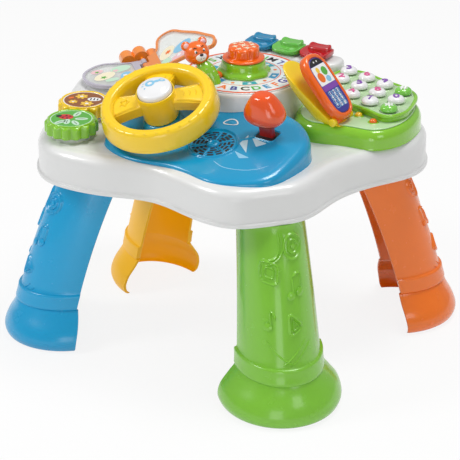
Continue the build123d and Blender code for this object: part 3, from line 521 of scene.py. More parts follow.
class Form:
    """One visible piece, gathered from grids of points in millimetres and written in metres."""

    PRINT_FOOT = -0.3

    def __init__(self, name: str, *hues: Hue) -> None:
        """Start an empty piece with its finishes in slot order."""
        self.name = name
        self.hues = hues
        self.points: list[Points] = []
        self.faces: list = []
        self.tags: list[int] = []
        self.count = 0

    def _add(self, points: Points, faces: list, hue: int) -> None:
        """Store points and faces that index them from nought."""
        self.points.append(points)
        self.faces += [[i + self.count for i in face] for face in faces]
        self.tags += [hue] * len(faces)
        self.count += len(points)

    def grid(self, points: Points, wrap_u: bool = False, wrap_v: bool = False, hue: int = 0) -> "Form":
        """Add a grid of quads.

        Args:
            points: array of rows by columns by 3, in millimetres.
            wrap_u: joins the last row to the first.
            wrap_v: joins the last column to the first.
            hue: which finish the faces take.

        Returns:
            This form.
        """
        rows, cols = points.shape[:2]
        i, j = np.meshgrid(np.arange(rows - (not wrap_u)), np.arange(cols - (not wrap_v)), indexing="ij")
        i2, j2 = (i + 1) % rows, (j + 1) % cols
        quads = np.stack([i * cols + j, i * cols + j2, i2 * cols + j2, i2 * cols + j], -1).reshape(-1, 4)
        self._add(points.reshape(-1, 3), quads.tolist(), hue)
        return self

    def turn(self, datum: Datum, profile: Sequence[tuple[float, float]], count: int = 96,
             swell: Callable[[Points, Points, Points], Points] | None = None, closed: bool = False,
             hue: int = 0) -> "Form":
        """Add a surface turned round the datum's normal.

        Args:
            datum: the axis.
            profile: radius and height, from the underside outwards and up.
            count: steps round the axis.
            swell: gives the radius from radius, height and angle, for lobes and flutes.
            closed: whether the profile joins itself.
            hue: which finish the faces take.

        Returns:
            This form.
        """
        p = np.array(profile, float)
        r, h, t = p[:, :1], p[:, 1:], np.linspace(0, 2 * math.pi, count, endpoint=False)[None]
        reach = r + 0 * t if swell is None else swell(r, h, t)
        points = datum.at(reach * np.cos(t), reach * np.sin(t), h + 0 * t)
        return self.grid(points, wrap_u=closed, wrap_v=True, hue=hue)

    def layers(self, surface: Surface, loop: Points, steps: Sequence[tuple[float, float]], hue: int = 0,
               middle: tuple[float, float] | None = None, rings: int = 3) -> "Form":
        """Add a closed block whose loop is inset by each step's first value at the second's height.

        Args:
            surface: places (u, v, height) in space.
            loop: anticlockwise outline.
            steps: (inset, height) from the underside, over the edge, to the top.
            hue: which finish the faces take.
            middle: point towards which both ends close; the loop's mean when left out.
            rings: rings of faces that close the top.

        Returns:
            This form.
        """
        hub = np.array(middle) if middle is not None else loop.mean(0)
        rows = [np.column_stack([offset_loop(loop, inset), np.full(len(loop), h)]) for inset, h in steps]
        base, top = rows[0], rows[-1]

        def shrink(row: Points, share: float) -> Points:
            """Row drawn towards the hub at its own height."""
            return np.column_stack([hub + (row[:, :2] - hub) * share, row[:, 2]])

        inner = [shrink(top, 1 - k / rings) for k in range(1, rings + 1)]
        table = np.stack([shrink(base, 0.0), *rows, *inner])
        return self.grid(surface(table[..., 0], table[..., 1], table[..., 2]), wrap_v=True, hue=hue)

    def patch(self, surface: Surface, loop: Points, low: float, high: float, hue: int = 0,
              middle: tuple[float, float] | None = None, crown: float = 0.0) -> "Form":
        """Add a thin closed plate over the loop, domed by crown above its edge.

        Args:
            surface: places (u, v, height) in space.
            loop: anticlockwise outline.
            low: underside.
            high: top at the edge.
            hue: which finish the faces take.
            middle: point towards which it closes; the loop's mean when left out.
            crown: how far the middle stands above the edge.

        Returns:
            This form.
        """
        hub = np.array(middle) if middle is not None else loop.mean(0)
        share = np.array([0.0, 1.0, 1.0, 0.66, 0.33, 0.0])
        lift = np.array([low, low, high, high + crown * 0.56, high + crown * 0.89, high + crown])
        uv = hub + (loop - hub)[None] * share[:, None, None]
        return self.grid(surface(uv[..., 0], uv[..., 1], lift[:, None]), wrap_v=True, hue=hue)

    def ridge(self, surface: Surface, path: Points, width: float, height: float, closed: bool = False,
              hue: int = 0, sink: float = 0.4, flat: bool = False) -> "Form":
        """Add a raised line: a cosine hump carried along a path, tapered to nothing at open ends.

        Args:
            surface: places (u, v, height) in space.
            path: the line's middle on the surface.
            width: full width.
            height: crest above the surface; below nought it sinks into the surface as a groove's dark
                filling, which paints the groove's shade.
            closed: whether the path joins itself.
            hue: which finish the faces take.
            sink: how far its underside lies in the surface.
            flat: gives a flat printed line in place of the hump.

        Returns:
            This form.
        """
        if closed:
            along = np.roll(path, -1, 0) - np.roll(path, 1, 0)
        else:
            along = np.gradient(path, axis=0)
        along = unit(along)
        side = np.stack([-along[:, 1], along[:, 0]], 1)
        n = len(path)
        ends = np.ones(n)
        if not closed:
            taper = np.minimum(np.arange(n), np.arange(n)[::-1]) / max(1.0, min(3.0, n / 4))
            ends = np.sqrt(np.clip(taper, 0, 1))
        k = np.linspace(-1, 1, 3 if flat else 9)
        hump = np.ones_like(k) if flat else (1 + np.cos(math.pi * k)) / 2
        across = np.concatenate([k, [1.0, -1.0]])
        lift = np.concatenate([hump * height, [-sink, -sink]])
        uv = path[None] + side[None] * (across[:, None] * ends[None] * width / 2)[..., None]
        h = np.where(lift[:, None] > 0, lift[:, None] * ends[None], lift[:, None])
        return self.grid(surface(uv[..., 0], uv[..., 1], h), wrap_u=True, wrap_v=closed, hue=hue)

    def lettering(self, surface: Surface, text: str, size: float, place: tuple[float, float], turn: float,
                  high: float, hue: int = 0, bold: float = 0.0) -> "Form":
        """Add printed characters as thin closed plates.

        Args:
            surface: places (u, v, height) in space.
            text: the characters.
            size: height of a line in millimetres.
            place: middle of the word on the surface.
            turn: direction in which it reads, in degrees.
            high: top of the print above the surface.
            hue: which finish the faces take.
            bold: how far the strokes are fattened.

        Returns:
            This form.
        """
        curve = bpy.data.curves.new("lettering", "FONT")
        curve.body, curve.size, curve.align_x, curve.align_y = text, size, "CENTER", "CENTER"
        curve.extrude, curve.resolution_u, curve.offset = 0.5, 3, bold
        holder = bpy.data.objects.new("lettering", curve)
        mesh = bpy.data.meshes.new_from_object(holder)
        co = np.zeros(len(mesh.vertices) * 3)
        mesh.vertices.foreach_get("co", co)
        co = co.reshape(-1, 3)
        c, s = heading(turn)
        u = place[0] + co[:, 0] * c - co[:, 1] * s
        v = place[1] + co[:, 0] * s + co[:, 1] * c
        w = np.where(co[:, 2] > 0, high, self.PRINT_FOOT)
        self._add(surface(u, v, w), [list(p.vertices) for p in mesh.polygons], hue)
        bpy.data.objects.remove(holder)
        bpy.data.meshes.remove(mesh)
        bpy.data.curves.remove(curve)
        return self

    def ride(self, body: str, *nodes: str, slot: str | None = None, crease: float = 38.0) -> bpy.types.Object:
        """Write the mesh and hang it on its CAD body.

        Args:
            body: the CAD body that carries the piece.
            nodes: CAD nodes that the piece stands for.
            slot: the record's material slot; not used.
            crease: edges sharper than this many degrees stay crisp.

        Returns:
            The new object.
        """
        mesh = bpy.data.meshes.new(self.name)
        mesh.from_pydata((np.concatenate(self.points) * MM).tolist(), [], self.faces)
        mesh.polygons.foreach_set("material_index", self.tags)
        for hue in self.hues:
            mesh.materials.append(hue.material())
        weld(mesh)
        mesh.shade_smooth()
        mesh.set_sharp_from_angle(angle=math.radians(crease))
        made = bpy.data.objects.new(self.name, mesh)
        bpy.context.scene.collection.objects.link(made)
        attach(made, body)
        if nodes:
            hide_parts(*nodes)
        LOG.info("%s: %d faces on %s", self.name, len(mesh.polygons), body)
        return made


def weld(mesh: bpy.types.Mesh) -> None:
    """Merge doubled points, which closes seams and poles, and turn every closed shell's faces out."""
    work = bmesh.new()
    work.from_mesh(mesh)
    bmesh.ops.remove_doubles(work, verts=work.verts, dist=2e-6)
    bmesh.ops.dissolve_degenerate(work, edges=work.edges, dist=1e-6)
    bmesh.ops.recalc_face_normals(work, faces=work.faces)
    work.to_mesh(mesh)
    work.free()


def dress(hue: Hue, *nodes: str) -> None:
    """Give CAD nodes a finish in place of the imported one.

    Args:
        hue: the finish.
        nodes: names of the CAD nodes.
    """
    for name in nodes:
        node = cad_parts[name]
        node.data.materials.clear()
        node.data.materials.append(hue.material())
        LOG.info("%s: CAD solid in %s", name, hue.value.name)


def box_loop(u: float, v: float, wide: float, high: float, radius: float, turn: float = 0.0) -> Points:
    """Anticlockwise rectangle with rounded corners about (u, v).

    Args:
        u: middle, first axis.
        v: middle, second axis.
        wide: size along the first axis.
        high: size along the second axis.
        radius: how far each corner is cut back.
        turn: degrees anticlockwise.

    Returns:
        The outline.
    """
    corners = [(-wide / 2, -high / 2), (wide / 2, -high / 2), (wide / 2, high / 2), (-wide / 2, high / 2)]
    return rounded([(u + a, v + b) for a, b in (turned(x, y, turn) for x, y in corners)], radius, 8)


# ------------------------------------------------------------------------------ shared places
LEVEL = Datum((0.0, 0.0, 0.0))
DECK_Z = 300.0
RING = Datum((7.0, 42.0, 360.0))
SPINE_TURN = 137.0
CLOUD = [
    (11, -186), (89, -197), (149, -193), (185, -159), (209, -124), (213, -55),
    (235, 30), (257, 82), (250, 132), (222, 168), (167, 190), (95, 198), (17, 207),
    (-80, 192), (-183, 165), (-258, 130), (-281, 65), (-250, -30), (-219, -105),
    (-188, -173), (-141, -210), (-100, -214), (-44, -203),
]
COGS = {"cog_front": (-137.8, -157.5), "cog_rear": (-166.2, -93.5)}
PIANO = Datum((-3.0, 174.0, 347.0), (*heading(6.0), 0.0))


@dataclass
class PlayTop:
    """White cloud-shaped shell with its proud lip, dial pedestal, piano block and cog bosses."""

    shoulder_z: float = 285.0
    post: tuple[float, float] = (-139.2, 31.1)

    def build(self) -> None:
        """Make the shell that stands for the CAD play top, and dress the underside."""
        skin = Form("play_top_skin", Hue.WHITE)
        lip = [(6.05, 253.1), (6.05, 250.6), (5.4, 250), (1, 250), (0.2, 250.4), (0, 251.2), (0, 253.7),
               (0.3, 254.6), (1.0, 255.2), (2.2, 255.6), (2.8, 256.4), (3, 258)]
        shoulder = quarter((3, self.shoulder_z), (17, DECK_Z), 10)
        skin.layers(LEVEL.at, smooth_loop(CLOUD, 480), [*lip, *shoulder, (24, 300), (30, 300)], middle=(0, 0))
        skin.turn(RING, [(0, -61), (91, -61), (88.6, -59), (87.8, -55), (85.2, -8), (84.6, -4.5),
                         (83.2, -2.2), (81.6, -1.5), (80.9, -1.7), (80.7, -2.2), (0, -2.2)], 128)
        block = [(-2, -48), (-1, -47), (0, -44), (1.4, -6), (2.2, -2.6), (4, -0.7), (6.5, 0)]
        skin.layers(PIANO.at, box_loop(5, 0, 160, 44, 21), block)
        for u, v in COGS.values():
            boss = Datum((u, v, DECK_Z))
            skin.turn(boss, [(0, -1), (28, -1), (26.6, 0.4), (26, 2), (26, 5.5), (25, 6.6), (0, 6.7)])
        post = box_loop(*self.post, 8, 14, 3, SPINE_TURN)
        skin.layers(LEVEL.at, post, [(-1, 299), (-0.6, 301), (0, 303), (0, 324), (0.8, 325.6), (2, 326)])
        skin.ride(TABLE, "table_shell", slot="white_shell", crease=50)
        dress(Hue.WHITE, "base_cover", "battery_hatch")
        dress(Hue.SCREW, "cover_screws")
        self.contour()

    def contour(self) -> None:
        """Fine raised line that follows the deck's edge."""
        line = Form("deck_line", Hue.WHITE)
        loop = offset_loop(smooth_loop(CLOUD, 300), 26)
        line.ridge(Datum((0.0, 0.0, DECK_Z)).at, loop, 1.6, 0.35, closed=True)
        line.ride(TABLE, slot="white_shell")


@dataclass
class Leg:
    """Splayed channel leg: bell foot, raised collar, ribbed shaft and moulded toy shapes."""

    node: str
    hue: Hue
    slot: str
    x: float
    y: float
    splay: float
    narrow: float = 1.0
    drop: float = 0.0
    flip: float = 1.0
    wall: float = 4.0
    foot_z: float = 54.0
    girth: float = 54.0
    cap_z: float = 245.0
    top_z: float = 250.0

    def size(self, z: Points) -> tuple[Points, Points, Points]:
        """Chord retreat, half-width and depth of the bare leg at heights z."""
        climb = (z - 75.0) / 160.0
        half = (55.0 - 10.0 * climb) * self.narrow
        return 13.0 + 59.0 * (0.75 * climb + 0.25 * climb**2), half, 75.0 - climb

    def place(self, out: Points, side: Points, z: Points) -> Points:
        """Point on the table from the leg's own outward and sideways axes."""
        c, s = heading(self.splay)
        out, side, z = np.broadcast_arrays(out, side, z)
        return np.stack([self.x + out * c - side * s, self.y + out * s + side * c, z], -1)

    def face(self, u: Points, v: Points, h: Points) -> Points:
        """Point h proud of the shaft, u along the girth from its outermost line and v above the floor."""
        retreat, half, depth = self.size(v)
        t = u / self.girth
        return self.place((depth + h) * np.cos(t) - retreat, (half + h) * np.sin(t), v)

    def rows(self) -> Points:
        """Heights of the sections with their retreat, half-width and depth."""
        foot = smooth_path([(0, 0, 74.2, 81.4), (0.6, 0.2, 75.6, 82.4), (4, 1, 80, 87), (14, 2, 83, 90),
                            (28, 5, 79, 88), (42, 8, 68, 83), (51, 9, 60.4, 79.8),
                            (54, 9.4, 58.4, 78.6)], 34)
        foot[:, 2] *= self.narrow
        low = np.array([54.2, 54.6, 55.6, 57.4, 60, 66, 71.5, 74, 75.4, 76.0, 76.6, 78.6])
        proud = np.array([1.4, 2.6, 3.4, 3.7, 3.5, 3.4, 3.6, 3.9, 3.5, 2.4, 0.5, 0.0])
        high = np.linspace(84, self.cap_z, 22)
        z = np.concatenate([low, high])
        retreat, half, depth = self.size(z)
        grow = np.concatenate([proud, np.zeros(len(high))])
        return np.vstack([foot, np.column_stack([z, retreat, half + grow, depth + grow])])

    def shell(self) -> Form:
        """Closed skin of the channel: outside, edge, inside and the cap under the play top."""
        z, retreat, half, depth = (column[:, None] for column in self.rows().T)
        t = np.linspace(-math.pi / 2, math.pi / 2, 56)[None]
        bare = np.maximum(half - np.maximum(half - self.size(z)[1], 0) * (z > self.foot_z), 1)
        inner_half = bare - self.wall
        inner_depth = np.where(z > self.foot_z, self.size(z)[2], depth) - self.wall
        outer = self.place(depth * np.cos(t) - retreat, half * np.sin(t), z)
        inner = self.place(inner_depth * np.cos(t[:, ::-1]) - retreat, inner_half * np.sin(t[:, ::-1]), z)
        lip = np.minimum(half, bare + 1.6) - 2.0
        edge = self.place(-retreat - 0.9, lip, z)
        edge_back = self.place(-retreat - 0.9, -lip, z)
        band = np.concatenate([outer, edge, inner, edge_back], 1)
        core, core_back = (outer + inner[:, ::-1]) * 0.5, (inner + outer[:, ::-1]) * 0.5
        middle = np.concatenate([core, edge, core_back, edge_back], 1)
        side = self.place(-retreat[-1:], inner_half[-1:] * np.sin(t[:, ::-1]), z[-1:])
        lid = np.concatenate([outer[-1:], edge[-1:], side, edge_back[-1:]], 1)
        top = lid + (0, 0, self.top_z - 0.1 - self.cap_z)
        hub = np.broadcast_to(top.mean(1, keepdims=True), top.shape)
        rows = [middle[:1], band, lid, top, (top + hub) / 2, hub]
        return Form(f"{self.node}_skin", self.hue).grid(np.concatenate(rows), wrap_v=True)

    def reliefs(self, form: Form) -> None:
        """Raised toy shapes: disc in a ring, square in a square, notes, triangle and flowing lines."""
        def at(u: Points, v: Points, h: Points) -> Points:
            """Leg face with the pattern's own flip and drop."""
            return self.face(u * self.flip, v - self.drop, h)

        form.ridge(at, ellipse(17, 224, 15, 14.5, count=56), 4.6, 2.7, closed=True)
        form.ridge(at, ellipse(17, 224, 8.2, 8, count=40), 3.4, 2.2, closed=True)
        form.patch(at, ellipse(17, 224, 3.2, 3.1, count=24), -0.4, 1.0, crown=0.8)
        form.ridge(at, box_loop(-21.5, 194, 26, 25, 8, -8), 4.8, 2.7, closed=True)
        form.ridge(at, box_loop(-21.5, 194, 12.5, 12, 4, -8), 3.6, 2.2, closed=True)
        for gap in (0.0, 6.0):
            stream = [(-6 + gap, 244), (-4 + gap, 228), (-10 + gap * 0.8, 213), (-24, 207 - gap)]
            form.ridge(at, smooth_path(stream, 26), 3.4, 2.0)
        self.note(at, form, (8.0, 166.0), 22.0)
        self.note(at, form, (22.0, 169.0), 22.0)
        form.ridge(at, smooth_path([(11.5, 188), (18, 192), (25.5, 191)], 12), 5.4, 2.8)
        self.note(at, form, (-26.0, 128.0), 20.0)
        form.ridge(at, smooth_path([(-22.6, 148), (-17, 143), (-16, 137)], 12), 4.0, 2.4)
        form.ridge(at, rounded([(3, 116), (24, 127), (3, 147)], 9, 8), 4.8, 2.7, closed=True)
        form.ridge(at, rounded([(8, 123), (17.5, 127.6), (8, 137)], 3.4, 6), 3.4, 2.1, closed=True)
        for start, end in (((-30, 112), (8, 80)), ((26, 110), (-8, 80)), ((34, 106), (2, 79))):
            middle = ((start[0] + end[0]) / 2 - 2, (start[1] + end[1]) / 2 - 3)
            form.ridge(at, smooth_path([start, middle, end], 22), 2.8, 1.4)

    @staticmethod
    def note(at: Surface, form: Form, head: tuple[float, float], tall: float) -> None:
        """One quaver: an oval head and its stem.

        Args:
            at: the leg's face.
            form: the leg's piece.
            head: middle of the head.
            tall: length of the stem.
        """
        u, v = head
        form.patch(at, ellipse(u, v, 5.8, 4.8, 20, 24), -0.5, 1.8, crown=1.2)
        stem = smooth_path([(u + 3.6, v), (u + 3.8, v + tall * 0.5), (u + 3.5, v + tall)], 14)
        form.ridge(at, stem, 3.8, 2.6)

    def build(self) -> None:
        """Make the leg's skin with its reliefs."""
        form = self.shell()
        self.reliefs(form)
        form.ride(TABLE, self.node, slot=self.slot, crease=42)


class Legs:
    """The four coloured legs."""

    def build(self) -> None:
        """Build each leg in its place."""
        Leg("leg_front_left", Hue.BLUE, "blue_plastic", -162.0, -153.0, 225.0, drop=24.0).build()
        Leg("leg_front_right", Hue.GREEN, "green_plastic", 196.0, -153.0, 315.0).build()
        Leg("leg_back_right", Hue.ORANGE, "orange_plastic", 196.0, 153.0, 45.0, drop=24.0, flip=-1.0).build()
        Leg("leg_back_left", Hue.YELLOW, "yellow_plastic", -133.0, 34.0, 161.0, narrow=0.82).build()


@dataclass
class LetterDial:
    """Printed letter ring with its scalloped collar and the crown knob that spins on it."""

    radius: float = 80.5
    letter_r: float = 64.0
    letters: int = 26
    start: float = -82.0

    def build(self) -> None:
        """Make the ring with its print, the collar and the crown."""
        self.ring()
        self.collar()
        self.crown()

    def ring(self) -> None:
        """White ring with coloured bands, the alphabet and small pictures between the bands."""
        form = Form("letter_ring_print", Hue.GLOSS_WHITE, Hue.INK_ORANGE, Hue.INK_BLUE, Hue.INK_BLACK,
                    Hue.INK_GREEN, Hue.INK_TEAL, Hue.RED_ORANGE, Hue.INK_NAVY, Hue.INK_ICE)
        r = self.radius
        form.turn(RING, [(28.2, -2), (r - 0.2, -2), (r, -1.7), (r, -0.5), (r - 0.4, -0.1), (r - 1, 0),
                         (28.2, 0)], 128, closed=True)
        form.ridge(RING.at, ellipse(0, 0, 78.0, count=120), 3.2, 0.3, closed=True, hue=6, flat=True)
        form.ridge(RING.at, ellipse(0, 0, 51.2, count=120), 1.1, 0.14, closed=True, hue=6, flat=True)
        step = 360.0 / self.letters
        for k in range(self.letters):
            turn = self.start + k * step
            if k % 2:
                tile = sector(0, 0, 53.2, 75.4, turn - step * 0.48, turn + step * 0.48, 8)
                form.patch(RING.at, tile, -0.3, 0.08, hue=8)
            c, s = heading(turn)
            where = (self.letter_r * c, self.letter_r * s)
            ink = (1, 7, 3, 4, 2)[k % 5]
            form.lettering(RING.at, chr(ord("A") + k), 18.0, where, turn + 90, 0.2, ink, 0.55)
        for k in range(12):
            wedge = sector(0, 0, 39.0, 49.6, k * 30 + 2, k * 30 + 27, 8)
            form.patch(RING.at, wedge, -0.3, 0.1, hue=(2, 8, 5, 0)[k % 4])
            c, s = heading(k * 30 + 14.5)
            dot = ellipse(44.3 * c, 44.3 * s, 2.7, 2.7, count=14)
            form.patch(RING.at, dot, -0.2, 0.22, hue=(0, 1, 8, 6)[k % 4])
        form.ride(TABLE, "letter_ring", slot="white_shell")

    def collar(self) -> None:
        """Bell-shaped collar whose foot swells in eight soft scallops."""
        def swell(r: Points, h: Points, t: Points) -> Points:
            """Scallops that fade up the bell."""
            return r + 1.5 * np.cos(8 * t) * np.clip((r - 30) / 6, 0, 1)

        form = Form("collar_skin", Hue.LIME)
        profile = [(0, -1.9), (27.6, -1.9), (27.7, -0.1), (35.4, 0.05), (36.4, 0.7), (36.7, 2.0),
                   (36.4, 3.6), (35.2, 5.2), (33.4, 6.4), (32.0, 7.6), (31.2, 9.4), (30.6, 13),
                   (30.0, 16.6), (29.2, 18.4), (28.0, 19.3), (26.5, 19.5), (8.1, 19.5), (8.1, 3.2),
                   (0, 3.2)]
        form.turn(RING, profile, 128, swell)
        form.ride(TABLE, "knob_collar", slot="green_gloss", crease=50)

    def crown(self) -> None:
        """Knob with six fat lobes above a thin flange, its top printed with sparkles."""
        def lobes(r: Points, h: Points, t: Points) -> Points:
            """Six rounded lobes above the flange."""
            fat = np.abs(np.cos(3 * t)) ** 0.55 - 0.55
            return r + 4.2 * fat * np.clip((h - 24) / 3, 0, 1) * np.clip((r - 4) / 12, 0, 1)

        form = Form("crown_skin", Hue.PHONE, Hue.INK_CREAM)
        profile = [(0, 4.1), (8, 4.1), (8, 20.1), (28.2, 20.1), (28.9, 20.6), (29, 21.8), (28.6, 23.0),
                   (27.4, 23.6), (23.2, 23.8), (21.6, 24.4), (21.1, 26), (20.9, 30), (20.7, 34),
                   (20.2, 36.2), (18.8, 37.6), (16.2, 38.4), (11, 38.9), (5, 39.1), (0, 39.1)]
        form.turn(RING, profile, 144, lobes)
        top = RING.moved(0.0, 0.0, 39.0).at
        sparkles = ((0, 0, 8.5, 20), (-9, 8, 5.2, 0), (10, -6, 5.6, 35), (-7, -10, 4.8, 60),
                    (8, 9, 4.8, 10), (-14, -1, 3.6, 30), (1, 15, 3.6, 15), (15, 3, 3.4, 50),
                    (3, -15, 3.8, 5))
        for u, v, size, turn in sparkles:
            for k in range(4):
                a = math.radians(turn + 45 * k)
                reach = size if k % 2 == 0 else size * 0.6
                c, s = reach * math.cos(a), reach * math.sin(a)
                ends = [(u - c, v - s), (u, v), (u + c, v + s)]
                form.ridge(top, smooth_path(ends, 9), 1.3, 0.28, hue=1, flat=True, sink=1.2)
        form.ride("crown", "crown_knob", slot="orange_gloss", crease=50)


@dataclass
class Bear:
    """Small teddy that leans out of the dial in a patterned green shirt."""

    base: Datum = Datum((-7.0, -14.0, 360.0), (0.0, 1.0, 0.0), (-0.56, 0.0, 0.83))
    head: Datum = Datum((-32.0, -14.0, 397.0), (0.51, 0.847, 0.15), (0.796, -0.531, 0.29))

    def build(self) -> None:
        """Make the body and the head."""
        shirt = Form("bear_shirt", Hue.LIME, Hue.INK_WHITE, Hue.BEAR, Hue.INK_MINT)
        shirt.turn(self.base, [(0, -8), (10.6, -8), (11.8, -2), (12.9, 4), (13.4, 10), (13.1, 16),
                               (11.8, 21.5), (10.0, 26), (8.4, 29), (7.4, 31), (0, 31.5)], 48)
        # Sleeves and paws reach out on both sides.
        for side, lift in ((1, 0.0), (-1, 4.0)):
            shoulder = self.base.at(7.0 * side, 6.0, 21.0)
            paw = shoulder + np.array((14.0 if side > 0 else 4.0, 13.0 * side, -11.0 + lift))
            limb(shirt, shoulder, shoulder * 0.35 + paw * 0.65, 6.6, 5.4, 0)
            limb(shirt, shoulder * 0.45 + paw * 0.55, paw, 4.6, 5.4, 2)
        rows = ((4.0, 9, 0), (11.0, 9, 20), (18.0, 8, 0))
        for h, count, start in rows:
            for k in range(count):
                t = math.radians(start + 360 * k / count)
                r = 12.9 - abs(h - 10) * 0.12
                out = np.array(self.base.spot(math.cos(t), math.sin(t))) - self.base.origin
                spot = Datum(self.base.spot(r * math.cos(t), r * math.sin(t), h), (0.0, 0.0, 1.0), tuple(out))
                shirt.patch(spot.at, star(0, 0, 2.4, 1.1, 5), -0.6, 0.35, hue=1)
        shirt.ride(TABLE, "bear_body", slot="green_plastic")
        self.face()

    def face(self) -> None:
        """Head with ears, muzzle, nose, eyes, brows and a smile."""
        form = Form("bear_head_skin", Hue.BEAR, Hue.INK_CREAM, Hue.INK_BLACK, Hue.INK_ROSE, Hue.INK_WHITE)
        head = self.head
        ball(form, head, (0, 0, 0), (17.4, 16.2, 16.4), 0)
        ball(form, head, (0, -6.5, 3.0), (15.0, 9.5, 13.2), 0)
        for side in (-1, 1):
            ball(form, head, (12.4 * side, 12.6, -2.0), (6.6, 6.6, 4.4), 0)
            ball(form, head, (12.4 * side, 12.6, 1.2), (4.0, 4.0, 2.4), 3)
            ball(form, head, (5.7 * side, 2.6, 14.2), (2.1, 2.6, 1.5), 4)
            ball(form, head, (5.4 * side, 2.3, 15.2), (1.35, 1.8, 1.1), 2)
            ball(form, head, (5.0 * side, 3.1, 16.1), (0.45, 0.45, 0.4), 4)
            brow = head_face(head, 16.9)
            arc = smooth_path([(3.2 * side, 7.4), (5.8 * side, 8.6), (8.2 * side, 7.6)], 9)
            form.ridge(brow, arc, 1.0, 0.5, hue=2)
        ball(form, head, (0, -5.6, 12.2), (8.4, 6.4, 5.8), 4)
        ball(form, head, (0, -2.6, 17.6), (2.7, 1.9, 1.6), 2)
        muzzle = head.moved(0.0, -5.4, 17.0)
        form.ridge(muzzle.at, smooth_path([(0, 1.6), (0, -1.2)], 6), 0.7, 0.9, hue=2, flat=True, sink=1.5)
        smile = smooth_path([(-3.4, -0.6), (-1.8, -2.4), (0, -1.3), (1.8, -2.4), (3.4, -0.6)], 16)
        form.ridge(muzzle.at, smile, 0.8, 0.7, hue=2, flat=True, sink=2.0)
        form.ride(TABLE, "bear_head", slot="orange_gloss")


def head_face(datum: Datum, radius: float) -> Surface:
    """Front of a ball about the datum as a surface for drawn lines.

    Args:
        datum: the ball's axes.
        radius: its radius.

    Returns:
        The surface.
    """
    def at(u: Points, v: Points, h: Points) -> Points:
        """Point on the ball above (u, v)."""
        u, v, h = np.broadcast_arrays(u, v, h)
        return datum.at(u, v, np.sqrt(np.maximum(radius**2 - u**2 - v**2, 0)) + h)
    return at


def ball(form: Form, datum: Datum, centre: tuple[float, float, float], radii: tuple[float, float, float],
         hue: int, count: int = 28) -> None:
    """Add an ellipsoid to a form, in the datum's axes.

    Args:
        form: the piece that takes it.
        datum: its axes.
        centre: its middle in those axes.
        radii: its three half-axes.
        hue: which finish it takes.
        count: steps round it.
    """
    a = np.linspace(-math.pi / 2, math.pi / 2, count // 2 + 1)[:, None]
    t = np.linspace(0, 2 * math.pi, count, endpoint=False)[None]
    u = centre[0] + radii[0] * np.cos(a) * np.cos(t)
    v = centre[1] + radii[1] * np.cos(a) * np.sin(t)
    form.grid(datum.at(u, v, centre[2] + radii[2] * np.sin(a) + 0 * t), wrap_v=True, hue=hue)


def limb(form: Form, start: Points, end: Points, r0: float, r1: float, hue: int) -> None:
    """Add a round-ended limb between two points.

    Args:
        form: the piece that takes it.
        start: middle of one end.
        end: middle of the other end.
        r0: radius at the start.
        r1: radius at the end.
        hue: which finish it takes.
    """
    along = end - start
    long = float(np.linalg.norm(along))
    helper = (1.0, 0.0, 0.0) if abs(along[2]) > 0.6 * long else (0.0, 0.0, 1.0)
    right = np.cross(along, helper)
    datum = Datum(tuple(start), tuple(right), tuple(unit(along)))
    t = np.linspace(-math.pi / 2, 0, 6)
    head = [(r0 * math.cos(x), r0 * math.sin(x)) for x in t]
    tail = [(r1 * math.cos(x), long + r1 * math.sin(x)) for x in -t[::-1]]
    form.turn(datum, [*head, *tail], 24, hue=hue)


SLOPE = math.radians(12.0)
SLOPE_Y, SLOPE_Z = -170.0, 306.0
TILT = math.radians(20.0)
WHEEL = Datum((-22.0, -116.0, 356.0), normal=(0.0, -math.sin(TILT), math.cos(TILT)))


def slope_z(y: Points) -> Points:
    """Height of the console's slope above the floor at y."""
    return SLOPE_Z + (y - SLOPE_Y) * math.tan(SLOPE)


def on_console(x: float, y: float) -> Datum:
    """Datum on the console's slope at (x, y), v up the slope."""
    return Datum((x, y, slope_z(y)), normal=(0.0, -math.sin(SLOPE), math.cos(SLOPE)))


